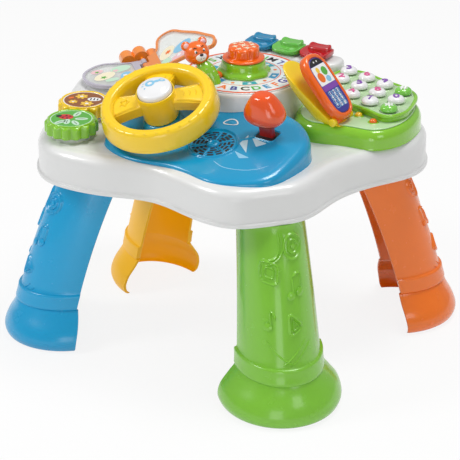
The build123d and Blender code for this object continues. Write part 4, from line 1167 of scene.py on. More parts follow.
@dataclass
class DrivingConsole:
    """Blue sloped console with the sound grille, the wheel's boss and the lever's slot."""

    outline: Sequence[tuple[float, float]] = (
        (-87, -150), (-62, -170), (-33, -179), (30, -172), (66, -174), (101, -181),
        (144, -170), (172, -150), (182, -100), (176, -52), (150, -20), (100, 0),
        (0, 0), (-70, -20), (-90, -70), (-92, -120),
    )
    grille: Datum = on_console(61.0, -110.0)
    lever: Datum = on_console(117.0, -65.0)

    def surface(self, u: Points, v: Points, h: Points) -> Points:
        """Point between the deck (h nought) and the slope (h one)."""
        u, v, h = np.broadcast_arrays(u, v, h)
        return np.stack([u, v, DECK_Z + (slope_z(v) - DECK_Z) * h], -1)

    def build(self) -> None:
        """Make the console's skin, then the pieces set in it."""
        skin = Form("console_skin", Hue.CONSOLE_BLUE, Hue.DARK)
        steps = [(-1.2, -0.05), (-0.8, 0.03), (-0.1, 0.09), (0, 0.3), (0.5, 0.5), (1.6, 0.66), (3.4, 0.79),
                 (6, 0.89), (9.5, 0.955), (14, 0.99), (19, 1.0), (26, 1.0)]
        skin.layers(self.surface, smooth_loop(self.outline, 260), steps, middle=(45, -85), rings=4)
        skin.turn(WHEEL, [(0, -17.6), (22.6, -17.6), (24.4, -18.2), (25.6, -20), (27.5, -27), (30, -36),
                          (33, -43), (38, -48), (44, -52), (0, -54)], 72)
        self.slot(skin)
        self.sound(skin)
        skin.ride(TABLE, "driving_console", slot="blue_plastic", crease=50)
        # The speaker takes the same near-black as the slots' painted shade.
        dress(Hue.DARK, "speaker")
        self.prints()

    def slot(self, skin: Form) -> None:
        """Lever slot: a near-black plate of painted shade where the slot opens, with a raised lip."""
        # Painted shade: a dark plate on the slope stands for the shadowed opening of the slot.
        skin.patch(self.lever.at, box_loop(0, 0, 28, 22, 5), -0.6, 0.25, hue=1)
        skin.ridge(self.lever.at, box_loop(0, 0, 31, 25, 6), 3.4, 1.5, closed=True)

    def sound(self, skin: Form) -> None:
        """Grille: rings of near-black plates, painted shade of the slots, parted by bars, inside a raised
        ring with a tail.
        """
        at = self.grille.at
        skin.ridge(at, ellipse(0, 0, 33, count=96), 5.4, 2.4, closed=True)
        for radius, count, start in ((26.4, 14, 0), (21.2, 11, 12), (16.0, 9, 5), (10.9, 6, 20)):
            step = 360 / count
            for k in range(count):
                first = start + k * step
                piece = sector(0, 0, radius - 1.75, radius + 1.75, first + 3.6, first + step - 3.6, 10)
                # Painted shade: each slot is a dark plate on the surface, not an opening.
                skin.patch(at, piece, -0.6, 0.14, hue=1)
        for radius in (23.8, 18.6, 13.4):
            skin.ridge(at, ellipse(0, 0, radius, count=80), 1.5, 0.7, closed=True)
        for turn in (38, 98, 158, 218, 278, 338):
            c, s = heading(turn)
            skin.ridge(at, smooth_path([(8 * c, 8 * s), (18 * c, 18 * s), (31 * c, 31 * s)], 12), 4.0, 1.6)
        skin.turn(self.grille, [(0, -1), (8.4, -1), (8.2, 0.8), (7.4, 2), (6, 2.7), (4.6, 2.3), (3.8, 1.7),
                                (0, 1.5)], 40)
        skin.ridge(at, smooth_path([(26, 20), (36, 28), (44, 36)], 14), 7.0, 1.3)

    def prints(self) -> None:
        """Pale patches beside the lever, the mode mark and the wave line near the front edge."""
        form = Form("console_print", Hue.INK_PALE, Hue.INK_WHITE, Hue.CONSOLE_BLUE, Hue.INK_SKY)
        at = on_console(0.0, SLOPE_Y).at
        rise = 1 / math.cos(SLOPE)

        def lay(points: Sequence[tuple[float, float]]) -> Points:
            """Outline in table x and y turned into console units."""
            return np.array([(x, (y - SLOPE_Y) * rise) for x, y in points])

        form.patch(at, rounded(lay([(93, -74), (93.5, -96), (114, -111)])[::1], 2, 5), -0.4, 0.16, hue=0)
        form.patch(at, rounded(lay([(101, -78), (118, -94), (127, -82)]), 2, 5), -0.4, 0.16, hue=0)
        form.patch(at, rounded(lay([(97, -113), (112, -125), (124, -119)]), 2, 5), -0.4, 0.14, hue=3)
        arch = lay([(44, -66), (48, -52), (58, -50), (68, -60)])
        form.ridge(at, rounded(arch, 8, 7), 1.8, 0.5, closed=True, hue=1, flat=True)
        bead = rounded(lay([(48, -64), (51, -55), (57, -54), (63, -61)])[::-1], 3, 5)
        form.patch(at, bead, -0.4, 0.9, hue=2, crown=0.8)
        wave = smooth_path(lay([(84, -143), (104, -150), (128, -147), (146, -138), (158, -124)]), 30)
        form.ridge(at, wave, 1.2, 0.14, hue=3, flat=True)
        form.ride(TABLE, slot="blue_plastic")


@dataclass
class SteeringWheel:
    """Yellow wheel with a deep grooved rim, three ribbed spokes and the white horn dome."""

    spokes: tuple[float, ...] = (40.0, 122.0, 207.0)

    def build(self) -> None:
        """Make the wheel and the horn."""
        form = Form("wheel_skin", Hue.WHEEL)
        rim = [(57.0, -10), (58.2, -6), (59.6, 1), (61, 7.4), (62.4, 10.6), (64, 12.2), (65.8, 12.8),
               (67.2, 12.3), (68.2, 12.2), (69.6, 12.9), (72, 13.2), (74.6, 12.4), (76.8, 9.6), (78.2, 5),
               (79.2, -2), (80, -9), (80.2, -14.6), (79.4, -15.8), (77.6, -15.6), (76.6, -12), (75.4, -2),
               (72.5, 5), (68, 7.6), (64, 6.4), (62.6, 1), (60.4, -8), (59.6, -12), (58.6, -13),
               (57.4, -12)]
        form.turn(WHEEL, rim, 160, closed=True)
        crest = WHEEL.moved(0.0, 0.0, 12.7).at
        for k in range(30):
            turn = 12 * k + 4
            mark = smooth_path([turned(73.4, 2.4, turn), turned(73.6, 0, turn), turned(73.4, -2.4, turn)], 8)
            form.ridge(crest, mark, 2.6, 1.1, sink=0.8)
        hub = [(0, -16.6), (9.9, -16.6), (22.4, -16.9), (23.4, -16.2), (23.9, -12), (24.9, 4), (25.7, 18),
               (26.2, 23.6), (25.9, 24.6), (25.1, 24.9), (24.2, 24.4), (23.8, 22.5), (23.8, 17.4),
               (0, 17.4)]
        form.turn(WHEEL, hub, 96)
        for turn in self.spokes:
            self.spoke(form, turn)
        form.ride("wheel", "steering_wheel", slot="yellow_plastic", crease=46)
        self.horn()

    def spoke(self, form: Form, turn: float) -> None:
        """Broad domed spoke with raised edges and a star or bars on its back.

        Args:
            form: the wheel's piece.
            turn: the spoke's direction in degrees.
        """
        c, s = heading(turn)

        def at(u: Points, v: Points, h: Points) -> Points:
            """u out along the spoke, v across it, h above its own rounded back."""
            u, v, h = np.broadcast_arrays(u, v, h)
            share = np.clip((u - 17) / 43, 0, 1)
            back = 13.6 - 7.2 * share - 2.4 * (v / 20) ** 2
            return WHEEL.at(u * c - v * s, u * s + v * c, back + h)

        u = np.linspace(19, 60.5, 18)[:, None]
        half = 14.8 + 6.8 * ((u - 19) / 41) ** 1.6
        k = np.linspace(-1, 1, 21)[None]
        top = at(u, k * half, 0.0 - 1.8 * np.abs(k) ** 10)
        under = at(u, k[:, ::-1] * (half - 1.0), np.full_like(k, -15.8))
        loops = np.concatenate([top, under], 1)
        ends = [np.broadcast_to(loop.mean(0), loop.shape)[None] for loop in (loops[0], loops[-1])]
        form.grid(np.concatenate([ends[0], loops, ends[1]]), wrap_v=True)
        for side in (-1, 1):
            path = smooth_path([(25, 12.2 * side), (40, 14.0 * side), (58, 18.6 * side)], 20)
            form.ridge(at, path, 2.6, 1.1)
        if turn > 200:
            form.ridge(at, star(45, 0, 7.2, 3.6, 5, 180.0), 2.0, 1.2, closed=True)
        elif turn > 100:
            form.patch(at, ellipse(51, 0, 7.6, 9.4, count=32), -0.5, 0.7, crown=1.3)
        else:
            for u0 in (35, 43, 51):
                form.ridge(at, smooth_path([(u0, -7), (u0 + 1.4, 0), (u0, 7)], 12), 2.6, 1.1)

    @staticmethod
    def dome_height(r: Points) -> Points:
        """Height of the horn's dome at a radius."""
        return 35.0 - 1.6 * (r / 15) ** 2 - 1.2 * (r / 19) ** 6

    def horn(self) -> None:
        """White dome printed with a bulb horn and three sound lines."""
        def dome(u: Points, v: Points, h: Points) -> Points:
            """Point on the dome, h above it."""
            u, v, h = np.broadcast_arrays(u, v, h)
            return WHEEL.at(u, v, self.dome_height(np.hypot(u, v)) + h)

        form = Form("horn_dome", Hue.GLOSS_WHITE, Hue.INK_SKY)
        rows = [(0.0, 20.55), (23.2, 20.55), (23.5, 21.0), (23.5, 27.0), (23.2, 28.6), (22.4, 30.0),
                (21.0, 31.1)]
        crown = [(r, self.dome_height(r)) for r in (19, 16, 13, 10, 7, 4, 2, 0)]
        form.turn(WHEEL, [*rows, *crown], 72)
        form.ridge(dome, ellipse(-6.8, 1.8, 5.0, count=28), 3.4, 0.3, closed=True, hue=1, flat=True)
        form.ridge(dome, smooth_path([(-4.0, 6.0), (-0.6, 9.6), (1.6, 12.6)], 10), 5.2, 0.3, hue=1, flat=True)
        form.ridge(dome, ellipse(3.2, 15.4, 3.2, count=24), 2.2, 0.3, closed=True, hue=1, flat=True)
        for u, v, turn in ((-16.4, -0.8, 190), (-13.6, -6.2, 222), (-7.6, -9.6, 262)):
            c, s = heading(turn)
            dash = smooth_path([(u - 1.7 * c, v - 1.7 * s), (u, v), (u + 1.7 * c, v + 1.7 * s)], 6)
            form.ridge(dome, dash, 1.8, 0.3, hue=1, flat=True)
        form.ride("horn", "horn_button", slot="white_gloss", crease=50)


@dataclass
class GearLever:
    """Dark-red stem with a big glossy knob that narrows to a blunt top."""

    datum: Datum = on_console(117.0, -65.0)

    def build(self) -> None:
        """Make the stem's flare and the knob."""
        knob = Form("gear_knob_skin", Hue.RED_ORANGE)
        bulb = smooth_path([(15.6, 21, 15), (16.4, 25, 17.5), (18.4, 32, 22), (21.5, 44, 31), (26, 54, 39),
                            (31.5, 58.2, 42.6), (38, 56.6, 42), (45, 51, 39), (52, 42.6, 34),
                            (57.6, 34.6, 28.6), (61.2, 28, 23.6), (63.2, 20.5, 17.5), (63.9, 10, 9),
                            (64, 0.4, 0.3)], 60)
        t = np.linspace(0, 2 * math.pi, 72, endpoint=False)[None]
        height, wide, deep = (column[:, None] for column in bulb.T)
        flat = 0.86
        u = wide / 2 * np.sign(np.cos(t)) * np.abs(np.cos(t)) ** flat
        v = deep / 2 * np.sign(np.sin(t)) * np.abs(np.sin(t)) ** flat
        knob.grid(self.datum.at(u, v, height + 0 * t), wrap_v=True)
        low = self.datum.at(np.zeros((1, 72)), np.zeros((1, 72)), 15.6)
        knob.grid(np.concatenate([low, self.datum.at(u[:1], v[:1], 15.6 + 0 * t)]), wrap_v=True)
        knob.ride("lever", "gear_knob", slot="orange_plastic", crease=60)
        stem = Form("gear_stem_skin", Hue.STEM)
        foot = [(-15.5, 22, 10), (-4, 22, 10), (-3, 21.6, 9.8), (6, 20, 9.4), (13, 21, 10),
                (17.6, 23, 11.5), (17.9, 1, 1)]
        rows = [self.datum.at(*box_loop(0, 0, a, b, min(a, b) * 0.3).T, h) for h, a, b in foot]
        stem.grid(np.stack([np.broadcast_to(rows[0].mean(0), rows[0].shape), *rows]), wrap_v=True)
        pin = Datum(self.datum.spot(-19.0, 0.0, -11.0), (0.0, 1.0, 0.0), (1.0, 0.0, 0.0))
        stem.turn(pin, [(0, 0), (2.6, 0), (3, 0.4), (3, 37.6), (2.6, 38), (0, 38)], 24)
        stem.ride("lever", "gear_stem", slot="red_plastic", crease=50)


@dataclass
class Cogs:
    """Two meshing cogs with fourteen column-like lobes, each with a printed picture in its dish."""

    teeth: int = 14
    first_lobe: float = 114.0
    low: float = 307.0

    def build(self) -> None:
        """Make both cogs."""
        self.cog("cog_front", "front_cog", Hue.LIME, "green_gloss", 0.0)
        self.cog("cog_rear", "rear_cog", Hue.WHEEL, "yellow_plastic", 0.5)

    def cog(self, node: str, body: str, hue: Hue, slot: str, phase: float) -> None:
        """One cog; its lobes stand round and dome over below a smooth rim.

        Args:
            node: the CAD node.
            body: the CAD body that carries it.
            hue: its plastic.
            slot: the record's material slot.
            phase: turn of the lobes, as a share of one lobe.
        """
        u, v = COGS[node]
        datum = Datum((u, v, self.low))
        first = math.radians(self.first_lobe)

        def lobes(r: Points, h: Points, t: Points) -> Points:
            """Radius with the lobes, which round off above and below."""
            wave = (1 + np.cos(self.teeth * (t - first) - 2 * math.pi * phase)) / 2
            over = np.clip(1 - ((h - 12.6) / 4.6).clip(0) ** 2, 0, 1)
            below = np.clip(1 - ((1.4 - h) / 2).clip(0) ** 2, 0, 1)
            dome = np.sqrt(over) * np.sqrt(below)
            return np.where(r > 31.9, r + 4.25 * wave**0.7 * dome, r)

        inks = {"cog_front": (Hue.INK_GREEN, Hue.INK_RED, Hue.INK_MINT, Hue.INK_BLACK, Hue.INK_WHITE),
                "cog_rear": (Hue.INK_BROWN, Hue.INK_YELLOW, Hue.INK_WHITE, Hue.INK_BLACK, Hue.INK_ORANGE)}
        form = Form(f"{node}_skin", hue, *inks[node])
        profile = [(0, 14.9), (6.05, 14.9), (6.05, 0.3), (30, 0.1), (32.0, 0.3), (32.2, 1.2), (32.2, 3),
                   (32.2, 6), (32.2, 9), (32.2, 11), (32.2, 12.6), (32.2, 13.8), (32.2, 15), (32.2, 16),
                   (32.2, 16.8), (32.1, 17.2), (32.0, 18.2), (31.4, 18.9), (30.6, 19), (29.9, 18.8),
                   (29.3, 18.2), (29, 17.75), (0, 17.75)]
        form.turn(datum, profile, 196, lobes)
        top = Datum((u, v, self.low + 17.75)).at
        form.patch(top, ellipse(0, 0, 27.6, count=64), -0.3, 0.12, hue=1)
        form.ridge(top, ellipse(0, 0, 27.9, count=80), 1.3, 0.2, closed=True, hue=3, flat=True)
        draw = self.leaves if node == "cog_front" else self.petals
        draw(form, top)
        form.ride(body, node, slot=slot, crease=44)

    @staticmethod
    def leaves(form: Form, top: Surface) -> None:
        """Ladybird between leaves."""
        for u, v, turn in ((12, 7, 35), (14, -9, -30), (-3, 17, 100), (-5, -18, -105), (2, -12, -60)):
            form.patch(top, ellipse(u, v, 9.0, 4.4, turn, 20), -0.2, 0.26, hue=3)
            a, b = turned(8.4, 0, turn), turned(-8.4, 0, turn)
            vein = smooth_path([(u + a[0], v + a[1]), (u, v), (u + b[0], v + b[1])], 7)
            form.ridge(top, vein, 0.9, 0.34, hue=4, flat=True)
        form.patch(top, ellipse(-10, 1, 10.4, 8.4, 15, 28), -0.2, 0.3, hue=2)
        form.patch(top, ellipse(-19.4, -2, 4.0, 4.2, 0, 18), -0.2, 0.36, hue=4)
        form.ridge(top, smooth_path([(-17, -0.6), (-10, 1.2), (-1, 3.4)], 9), 1.0, 0.38, hue=4, flat=True)
        for u, v in ((-12, 5), (-6, 6), (-12, -3.4), (-5.4, -2.4)):
            form.patch(top, ellipse(u, v, 1.7, 1.7, 0, 12), -0.2, 0.4, hue=4)

    @staticmethod
    def petals(form: Form, top: Surface) -> None:
        """Daisies and a striped bee's back."""
        for u, v, size, turn in ((-10, 8, 8.4, 10), (12, -9, 8.8, 30), (-8, -14, 6.2, 0)):
            for k in range(7):
                around = turn + k * 360 / 7
                a = turned(size * 0.62, 0, around)
                petal = ellipse(u + a[0], v + a[1], size * 0.44, size * 0.27, around, 14)
                form.patch(top, petal, -0.2, 0.26, hue=2)
            form.patch(top, ellipse(u, v, size * 0.3, size * 0.3, 0, 14), -0.2, 0.34, hue=3)
        form.patch(top, ellipse(11, 9, 9.4, 6.6, 25, 24), -0.2, 0.28, hue=3)
        for k in (-1, 0, 1):
            a, b = turned(k * 4.6, 5.6, 25), turned(k * 4.6, -5.6, 25)
            stripe = smooth_path([(11 + a[0], 9 + a[1]), (11 + k * 4.2, 9 + k * 2), (11 + b[0], 9 + b[1])], 7)
            form.ridge(top, stripe, 1.9, 0.36, hue=4, flat=True)
        form.patch(top, ellipse(-19, -4, 4.4, 2.6, 70, 14), -0.2, 0.3, hue=5)


KEY_ORIGIN, KEY_ACROSS, KEY_DOWN = (100.0, 169.0), (34.0, -8.5), (7.5, -32.7)
KEY_FACES = ("3", "2", "1", "6", "5", "4", "9", "8", "7", "hash", "0", "star")


@dataclass
class PhoneStation:
    """Green station with its pale panel, keypad tray, domed keys and two lights."""

    outline: Sequence[tuple[float, float]] = (
        (92, 40), (133, 5), (186, 18), (225, 27), (245, 60), (246, 100), (231, 144),
        (200, 172), (150, 184), (105, 186), (86, 172), (84, 110),
    )
    hub: tuple[float, float] = (168.0, 100.0)
    tray_hub: tuple[float, float] = (160.0, 125.0)
    lamps: Sequence[tuple[float, float]] = ((179.0, 64.0), (207.0, 55.0))
    tray: Sequence[tuple[float, float]] = (
        (98, 91), (130, 82), (165, 74), (195, 68), (221, 63), (234, 82), (231, 118), (216, 151),
        (192, 166), (145, 177), (104, 185), (86, 174), (87, 135),
    )

    def build(self) -> None:
        """Make the station, its panel, the tray, the keys and the lights."""
        base = Form("station_skin", Hue.LIME)
        steps = [(-0.6, 299.6), (-0.3, 300.6), (0, 302), (0, 311), *quarter((0, 311), (9.6, 324.8), 10)[1:],
                 (12, 325)]
        base.layers(LEVEL.at, smooth_loop(self.outline, 220), steps, middle=self.hub)
        base.ride(TABLE, "phone_station", slot="green_gloss")
        panel = Form("panel_skin", Hue.PALE_GREEN, Hue.LIME)
        panel.layers(LEVEL.at, offset_loop(smooth_loop(self.outline, 220), 9),
                     [(0.4, 325), (0, 325.4), (0, 326.3), (0.4, 326.8), (1.2, 327), (2, 327)],
                     middle=self.hub)
        for x, y in self.lamps:
            lamp = Datum((x, y, 327.0)).at
            panel.ridge(lamp, ellipse(0, 0, 6.4, count=36), 2.4, 0.9, closed=True, hue=1)
        panel.ride(TABLE, "station_panel", slot="pale_green")
        self.lights()
        self.plateau()
        for index, face in enumerate(KEY_FACES):
            self.key(index, face)

    def lights(self) -> None:
        """Two lenses that swell out of the panel."""
        bulb = [(0, 0.05), (5.1, 0.05), (5.2, 0.5), (5.2, 3), (4.9, 4.4), (4.1, 5.6), (2.8, 6.4),
                (1.4, 6.8), (0, 6.9)]
        for colour, (x, y), hue in zip(("yellow", "orange"), self.lamps, (Hue.LENS_YELLOW, Hue.LENS_ORANGE)):
            lens = Form(f"light_{colour}_lens", hue)
            lens.turn(Datum((x, y, 325.0)), bulb, 36)
            lens.ride(TABLE, f"light_{colour}", slot=f"{colour}_lens")

    def plateau(self) -> None:
        """Tray with an overhanging glossy rim and a pale floor."""
        form = Form("tray_skin", Hue.LIME, Hue.PALE_GREEN)
        loop = smooth_loop(self.tray, 200)
        steps = [(1, 326.4), (0.2, 327.2), (0, 328.6), (0, 332.0), (-1.2, 333.3), (-2.5, 334.0),
                 (-3.1, 335.0), (-3.1, 336.4), (-2.6, 337.5), (-1.6, 338.0), (-0.4, 338.1), (0.9, 337.8),
                 (1.8, 337.2), (2.2, 336.6)]
        form.layers(LEVEL.at, loop, steps, middle=self.tray_hub)
        form.patch(LEVEL.at, offset_loop(loop, 2.4), 336.0, 336.75, hue=1, middle=self.tray_hub)
        for index in range(len(KEY_FACES)):
            x, y = self.key_at(index)
            form.ridge(Datum((x, y, 336.75)).at, ellipse(0, 0, 13.2, count=40), 2.2, 1.1, closed=True, hue=1)
        form.ride(TABLE, "keypad_plateau", slot="pale_green")

    @staticmethod
    def key_at(index: int) -> tuple[float, float]:
        """Middle of a key from its file and its place along the file."""
        across, down = divmod(index, 3)
        return (KEY_ORIGIN[0] + across * KEY_ACROSS[0] + down * KEY_DOWN[0],
                KEY_ORIGIN[1] + across * KEY_ACROSS[1] + down * KEY_DOWN[1])

    def key(self, index: int, face: str) -> None:
        """One domed key with its printed numeral.

        Args:
            index: its place along the files.
            face: what is printed on it.
        """
        x, y = self.key_at(index)
        shiny = face in ("hash", "star")
        datum = Datum((x, y, 339.5), (*heading(34.0), 0.0))
        hues = (Hue.BUTTON_GREEN, Hue.INK_WHITE) if shiny else (Hue.GLOSS_WHITE, Hue.INK_PINK)
        form = Form(f"key_{face}_cap", *hues, Hue.INK_VIOLET)
        dome = [(0, 0.05), (11.4, 0.05), (11.9, 0.5), (12, 1.4), (11.8, 3.0), (11.0, 4.8), (9.4, 6.3),
                (7.2, 7.3), (4.4, 7.85), (2, 8.0), (0, 8.05)]
        form.turn(datum, [(0, -9), (3, -9), (3, -0.2)], 24)
        form.turn(datum, dome, 48)

        def top(u: Points, v: Points, h: Points) -> Points:
            """Point above the dome's top."""
            u, v, h = np.broadcast_arrays(u, v, h)
            return datum.at(u, v, 8.05 - (u**2 + v**2) / 62 + h)

        mark = {"hash": "#", "star": "*"}.get(face, face)
        size, drop = {"hash": (17.0, -0.6), "star": (27.0, -6.4)}.get(face, (19.0, -0.6))
        form.lettering(top, mark, size, (0, drop), 0, 0.75, 1 if index % 2 or shiny else 2, 0.3)
        form.ride("button_" + face, "key_" + face, slot="green_gloss" if shiny else "white_gloss")


HANDSET_RISE = math.radians(49.0)
CRADLE_RISE = math.radians(36.0)


@dataclass
class FlipPhone:
    """Orange toy telephone hinged on a yellow crescent arm."""

    hinge: tuple[float, float, float] = (168.0, 36.0, 330.5)
    long: float = 99.0
    wide: float = 49.0

    def leaning(self, rise: float) -> Datum:
        """Datum at the hinge whose u axis rises by the given angle away from the keypad."""
        return Datum(self.hinge, (-math.cos(rise), 0.0, math.sin(rise)),
                     (math.sin(rise), 0.0, math.cos(rise)))

    def build(self) -> None:
        """Make the arm, the handset and its printed picture."""
        self.arm()
        self.handset()
        self.display()

    def axle(self, half: float) -> Datum:
        """Datum along the hinge's axle that starts half its length before the hinge."""
        return Datum((self.hinge[0], self.hinge[1] - half, self.hinge[2]), normal=(0.0, 1.0, 0.0))

    def arm(self) -> None:
        """Crescent arm: flat under the handset, bellied below, with two hinge ears."""
        datum = self.leaning(CRADLE_RISE)
        form = Form("cradle_skin", Hue.AMBER)
        loop = box_loop(46.5, 0, 121, 47, 34)
        hub = np.array([44.0, 0.0])
        rows = []

        def floor(u: Points) -> Points:
            """Lowest height that stays above the station's panel."""
            return (325.2 - self.hinge[2] - u * math.sin(CRADLE_RISE)) / math.cos(CRADLE_RISE)

        for share, depth in ((0.0, 1.0), (0.2, 0.985), (0.4, 0.93), (0.6, 0.83), (0.78, 0.66), (0.9, 0.46),
                             (0.97, 0.25), (1.0, 0.08)):
            uv = hub + (loop - hub) * share
            belly = 24.5 * np.clip(1 - ((uv[:, 0] - 24) / 92) ** 2, 0.06, 1)
            level = np.minimum(np.maximum(-1.5 - belly * depth, floor(uv[:, 0])), -1.5)
            rows.append(datum.at(uv[:, 0], uv[:, 1], level))
        for share, h in ((0.995, -1.1), (0.975, -0.75), (0.94, -0.7), (0.6, -0.7), (0.0, -0.7)):
            uv = hub + (loop - hub) * share
            rows.append(datum.at(uv[:, 0], uv[:, 1], np.maximum(h, floor(uv[:, 0]))))
        form.grid(np.stack(rows), wrap_v=True)
        axle = self.axle(23.5)
        for low, high in ((0.0, 7.0), (40.0, 47.0)):
            form.turn(axle, [(0, low), (4.9, low), (5.5, low + 0.6), (5.5, high - 0.6), (4.9, high),
                             (0, high)], 32)
        form.ride(TABLE, "phone_cradle", slot="yellow_plastic", crease=50)

    def handset(self) -> None:
        """Rounded frame with a soft edge and a shallow well for the picture."""
        datum = self.leaning(HANDSET_RISE)
        form = Form("handset_skin", Hue.PHONE)
        loop = box_loop(self.long / 2 - 4, 0, self.long, self.wide, 31)
        steps = [(4, 1.0), (1.6, 1.4), (0.4, 2.6), (0, 4.4), (0, 9.5), (0.5, 11.8), (1.5, 13.6),
                 (3.0, 14.8), (4.4, 15.1), (5.6, 14.9), (6.5, 14.2), (6.9, 13.2), (7.1, 12.1)]
        form.layers(datum.at, loop, steps)
        axle = self.axle(15.9)
        form.turn(axle, [(0, 0), (4.6, 0), (5, 0.4), (5, 31.4), (4.6, 31.8), (0, 31.8)], 32)
        pin = self.axle(21.5)
        form.turn(pin, [(0, 0), (2.5, 0), (2.5, 43), (0, 43)], 24)
        form.ride("phone", "handset", slot="orange_gloss", crease=50)

    def display(self) -> None:
        """Printed picture under a clear window: strip, scene and number pad."""
        datum = self.leaning(HANDSET_RISE)
        form = Form("display_picture", Hue.INK_NAVY, Hue.INK_BLACK, Hue.INK_WHITE, Hue.INK_GREEN,
                    Hue.INK_ORANGE, Hue.INK_SKY, Hue.INK_VIOLET, Hue.INK_YELLOW)
        middle = self.long / 2 - 4
        long, wide = self.long - 15.4, self.wide - 13.6
        loop = box_loop(middle, 0, long, wide, 21)
        form.layers(datum.at, loop, [(0.4, 12.1), (0, 12.4), (0, 13.7), (0.5, 14.1), (1.4, 14.2)])
        face = datum.moved(middle, 0.0, 14.2).at

        def cut(low: float, high: float, inset: float) -> Points:
            """Part of the window's outline between two places along it."""
            ring = offset_loop(box_loop(0, 0, long, wide, 21), inset)
            ring[:, 0] = np.clip(ring[:, 0], low, high)
            return ring

        form.patch(face, cut(31, 41, 1.2), -0.3, 0.1, hue=1)
        form.patch(face, cut(2, 30.4, 1.2), -0.3, 0.12, hue=2)
        form.patch(face, ellipse(36, 3.4, 1.3, 1.3, 0, 12), -0.2, 0.24, hue=2)
        form.patch(face, ellipse(36, -3.4, 1.3, 1.3, 0, 12), -0.2, 0.24, hue=2)
        form.patch(face, ellipse(20, -7.0, 6.4, 6.0, 0, 24), -0.2, 0.22, hue=3)
        form.patch(face, ellipse(13, 6.6, 7.4, 6.6, 20, 24), -0.2, 0.26, hue=4)
        form.patch(face, ellipse(24, 5.4, 4.2, 3.6, 0, 18), -0.2, 0.3, hue=7)
        form.patch(face, ellipse(8, -6.5, 4.6, 5.0, 0, 18), -0.2, 0.3, hue=5)
        form.patch(face, cut(-6.5, 1.6, 1.2), -0.3, 0.12, hue=6)
        for row in range(4):
            for column in range(3):
                u, v = -11.0 - 6.4 * row, 8.6 - 8.6 * column
                form.ridge(face, box_loop(u, v, 5.2, 7.2, 1.6), 0.7, 0.2, closed=True, hue=5, flat=True)
                mark = "123456789*0#"[row * 3 + column]
                form.lettering(face, mark, 7.6, (u, v), -90, 0.24, 2, 0.16)
        form.ride("phone", "handset_display", slot="display_print")


@dataclass
class PianoKeys:
    """Three translucent keys: a wide lower tier with lifted wings and a raised, curled back."""

    step: float = 44.0

    def build(self) -> None:
        """Make each key on its own body."""
        keys = (("blue", Hue.KEY_BLUE), ("green", Hue.KEY_GREEN), ("red", Hue.RED))
        for index, (colour, hue) in enumerate(keys):
            self.key(colour, hue, (index - 1) * self.step)

    def key(self, colour: str, hue: Hue, along: float) -> None:
        """One key.

        Args:
            colour: its colour in the names of the CAD.
            hue: its plastic.
            along: its place on the block.
        """
        form = Form(f"piano_{colour}_skin", hue)

        def tier(u: Points, v: Points, h: Points) -> Points:
            """Lower tier, which lifts towards both sides."""
            u, v, h = np.broadcast_arrays(u, v, h)
            wing = 3.6 * np.abs(u / 21.6) ** 2.4 * np.clip(h - 4.2, 0, 1)
            return PIANO.at(u + along, v, h + wing)

        def back(u: Points, v: Points, h: Points) -> Points:
            """Raised back, whose far corners curl up."""
            u, v, h = np.broadcast_arrays(u, v, h)
            curl = 5.0 * (np.abs(u) / 17) ** 2.4 * np.clip((v - 2) / 16, 0, 1) * np.clip(h - 8, 0, 1)
            return PIANO.at(u + along, v, h + curl)

        lower = [(1.2, 4), (0.3, 4.3), (0, 5.2), (0, 6.4), (0.5, 7.5), (1.6, 8.1), (3.2, 8.2), (5, 7.9)]
        form.layers(tier, box_loop(0, -0.5, 43.2, 41, 13), lower, rings=5)
        upper = [(-1.4, 6), (-0.8, 7.4), (0, 9), (0.3, 11), (1.0, 12.6), (2.2, 13.4), (3.6, 13.4), (5, 13)]
        form.layers(back, box_loop(0, 9.5, 34, 20, 10), upper, rings=5)
        form.ridge(tier, smooth_path([(-13, -12), (0, -15), (13, -12)], 14), 2.6, 8.9, sink=-6.5)
        form.turn(PIANO.moved(along, 0.0, -11.0), [(0, 0), (3, 0), (3, 15.2), (0, 15.2)], 24)
        slot = {"blue": "blue_gloss", "green": "green_gloss", "red": "red_plastic"}[colour]
        form.ride("piano_" + colour, "piano_key_" + colour, slot=slot)


